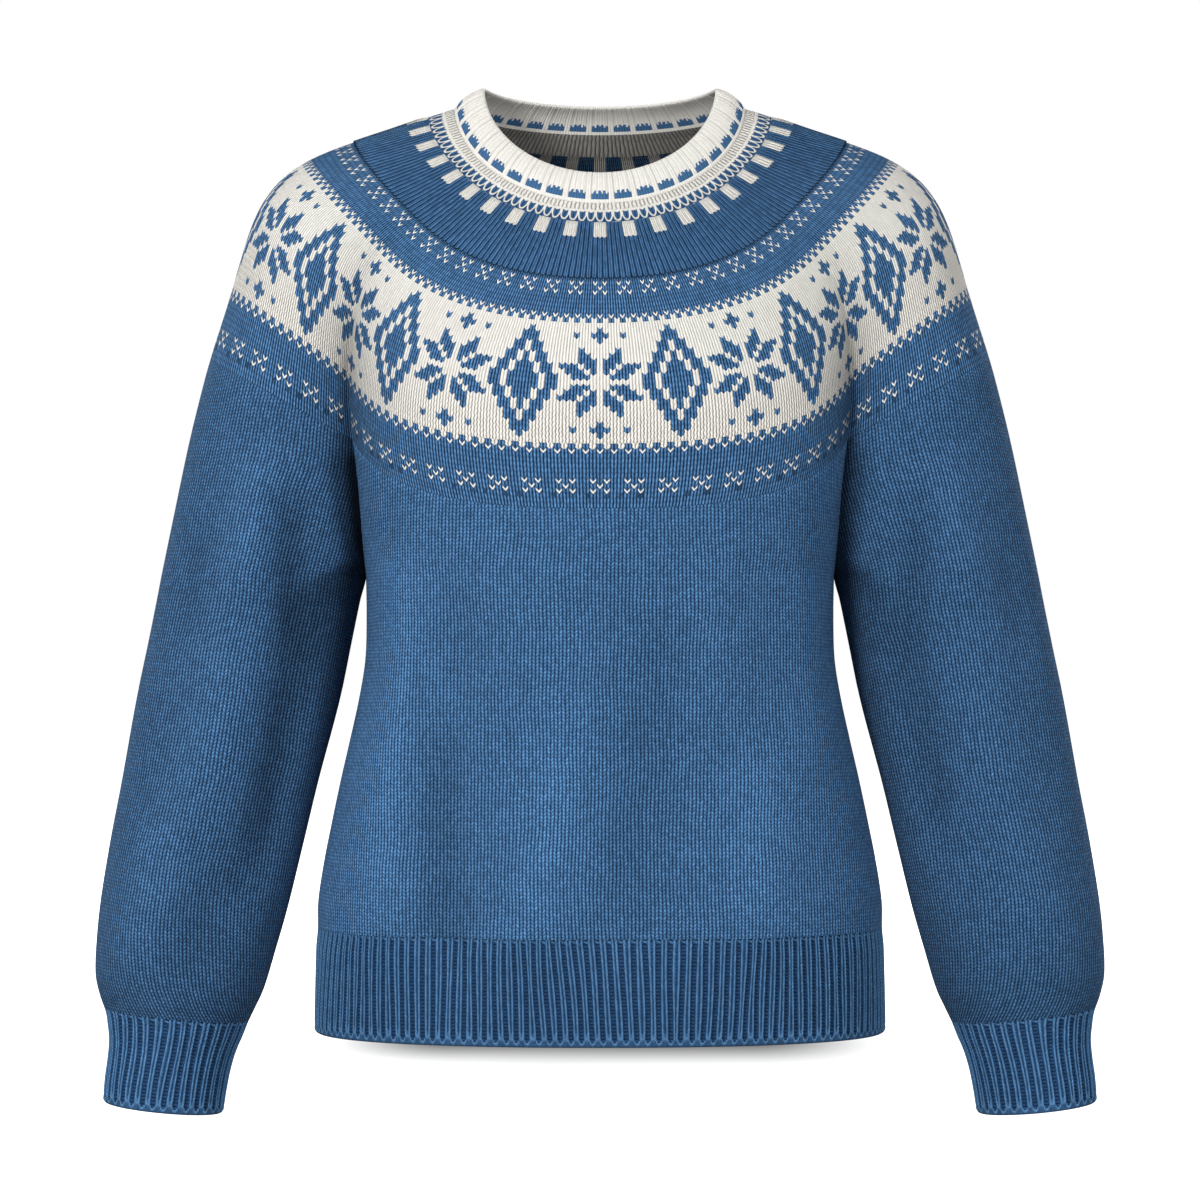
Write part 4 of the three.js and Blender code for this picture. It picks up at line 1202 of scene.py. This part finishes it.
def make_world():
    """White behind everything, and a weak pale light from all round."""
    world = bpy.data.worlds.new("studio")
    bpy.context.scene.world = world
    world.use_nodes = True
    tree = world.node_tree
    tree.nodes.clear()
    path = tree.nodes.new("ShaderNodeLightPath")
    mix = tree.nodes.new("ShaderNodeMixShader")
    out = tree.nodes.new("ShaderNodeOutputWorld")
    tree.links.new(path.outputs["Is Camera Ray"], mix.inputs[0])
    for i, strength, colour in ((1, WORLD_LIGHT, (0.97, 0.985, 1)), (2, 1.0, (1, 1, 1))):
        sky = tree.nodes.new("ShaderNodeBackground")
        sky.inputs["Strength"].default_value = strength
        sky.inputs["Color"].default_value = rgba(colour)
        tree.links.new(sky.outputs[0], mix.inputs[i])
    tree.links.new(mix.outputs[0], out.inputs["Surface"])


# Soft lights: place in metres, size, power, what they aim at
LIGHTS = [
    ("key", (-1.9, -2.6, 1.0), 1.0, 107, (0, 0, -0.35)),
    ("fill", (2.1, -2.5, 0.3), 1.2, 44, (0, 0, -0.35)),
    ("front", (0.2, -3.4, 0.2), 1.2, 15, (0, 0, -0.35)),
    ("top", (-0.2, -0.5, 2.1), 1.2, 13, (0, 0, -0.3)),
    ("back left", (-2.0, 2.7, 0.5), 1.2, 40, (0, 0, -0.35)),
    ("back right", (2.0, 2.7, 0.5), 1.2, 60, (0, 0, -0.35)),
]


def aim(obj, target):
    direction = np.array(target) - np.array(obj.location)
    flat = math.hypot(direction[0], direction[1])
    obj.rotation_euler = (
        math.pi / 2 + math.atan2(direction[2], flat),
        0,
        math.atan2(direction[1], direction[0]) - math.pi / 2,
    )


def make_lights():
    for name, place, size, power, target in LIGHTS:
        data = bpy.data.lights.new(name, "AREA")
        data.shape = "DISK"
        data.size = size
        data.energy = power
        light = bpy.data.objects.new(name, data)
        light.location = place
        light.visible_camera = False
        bpy.context.scene.collection.objects.link(light)
        aim(light, target)


def make_camera():
    data = bpy.data.cameras.new("camera")
    data.lens = CAMERA_LENS
    data.sensor_width = 36
    camera = bpy.data.objects.new("camera", data)
    camera.location = (0, -CAMERA_DISTANCE, CAMERA_Z)
    camera.rotation_euler = (math.pi / 2, 0, 0)
    bpy.context.scene.collection.objects.link(camera)
    bpy.context.scene.camera = camera


def main():
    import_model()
    bpy.context.scene.view_settings.view_transform = "Standard"
    # Shaded and lit copies of the same yarn: the sleeves' stitch and the hem rib are painted darker, the
    # cuffs' rib painted lighter
    blue = plain_material("blue stocking stitch", 1.0, 0.85, 0.6)
    shaded_sleeve_blue = plain_material("blue stocking stitch of the sleeves", 0.8, 0.75, 0.42)
    colourwork = colourwork_material("two-colour stocking stitch")
    rib = rib_material("blue rib", 0.88)
    lit_cuff_rib = rib_material("blue rib of the cuffs", 1.07)
    cream = cream_material("cream rib")
    pieces = [
        make_yoke(colourwork),
        make_body(-1, "front_knit", blue),
        make_body(1, "back_knit", blue),
        make_sleeve(-1, "sleeve_left_knit", shaded_sleeve_blue),
        make_sleeve(1, "sleeve_right_knit", shaded_sleeve_blue),
        make_hem(rib),
        make_cuff(-1, "cuff_left_knit", lit_cuff_rib),
        make_cuff(1, "cuff_right_knit", lit_cuff_rib),
        make_neckband(cream),
    ]
    make_floor()
    make_world()
    make_lights()
    make_camera()


main()
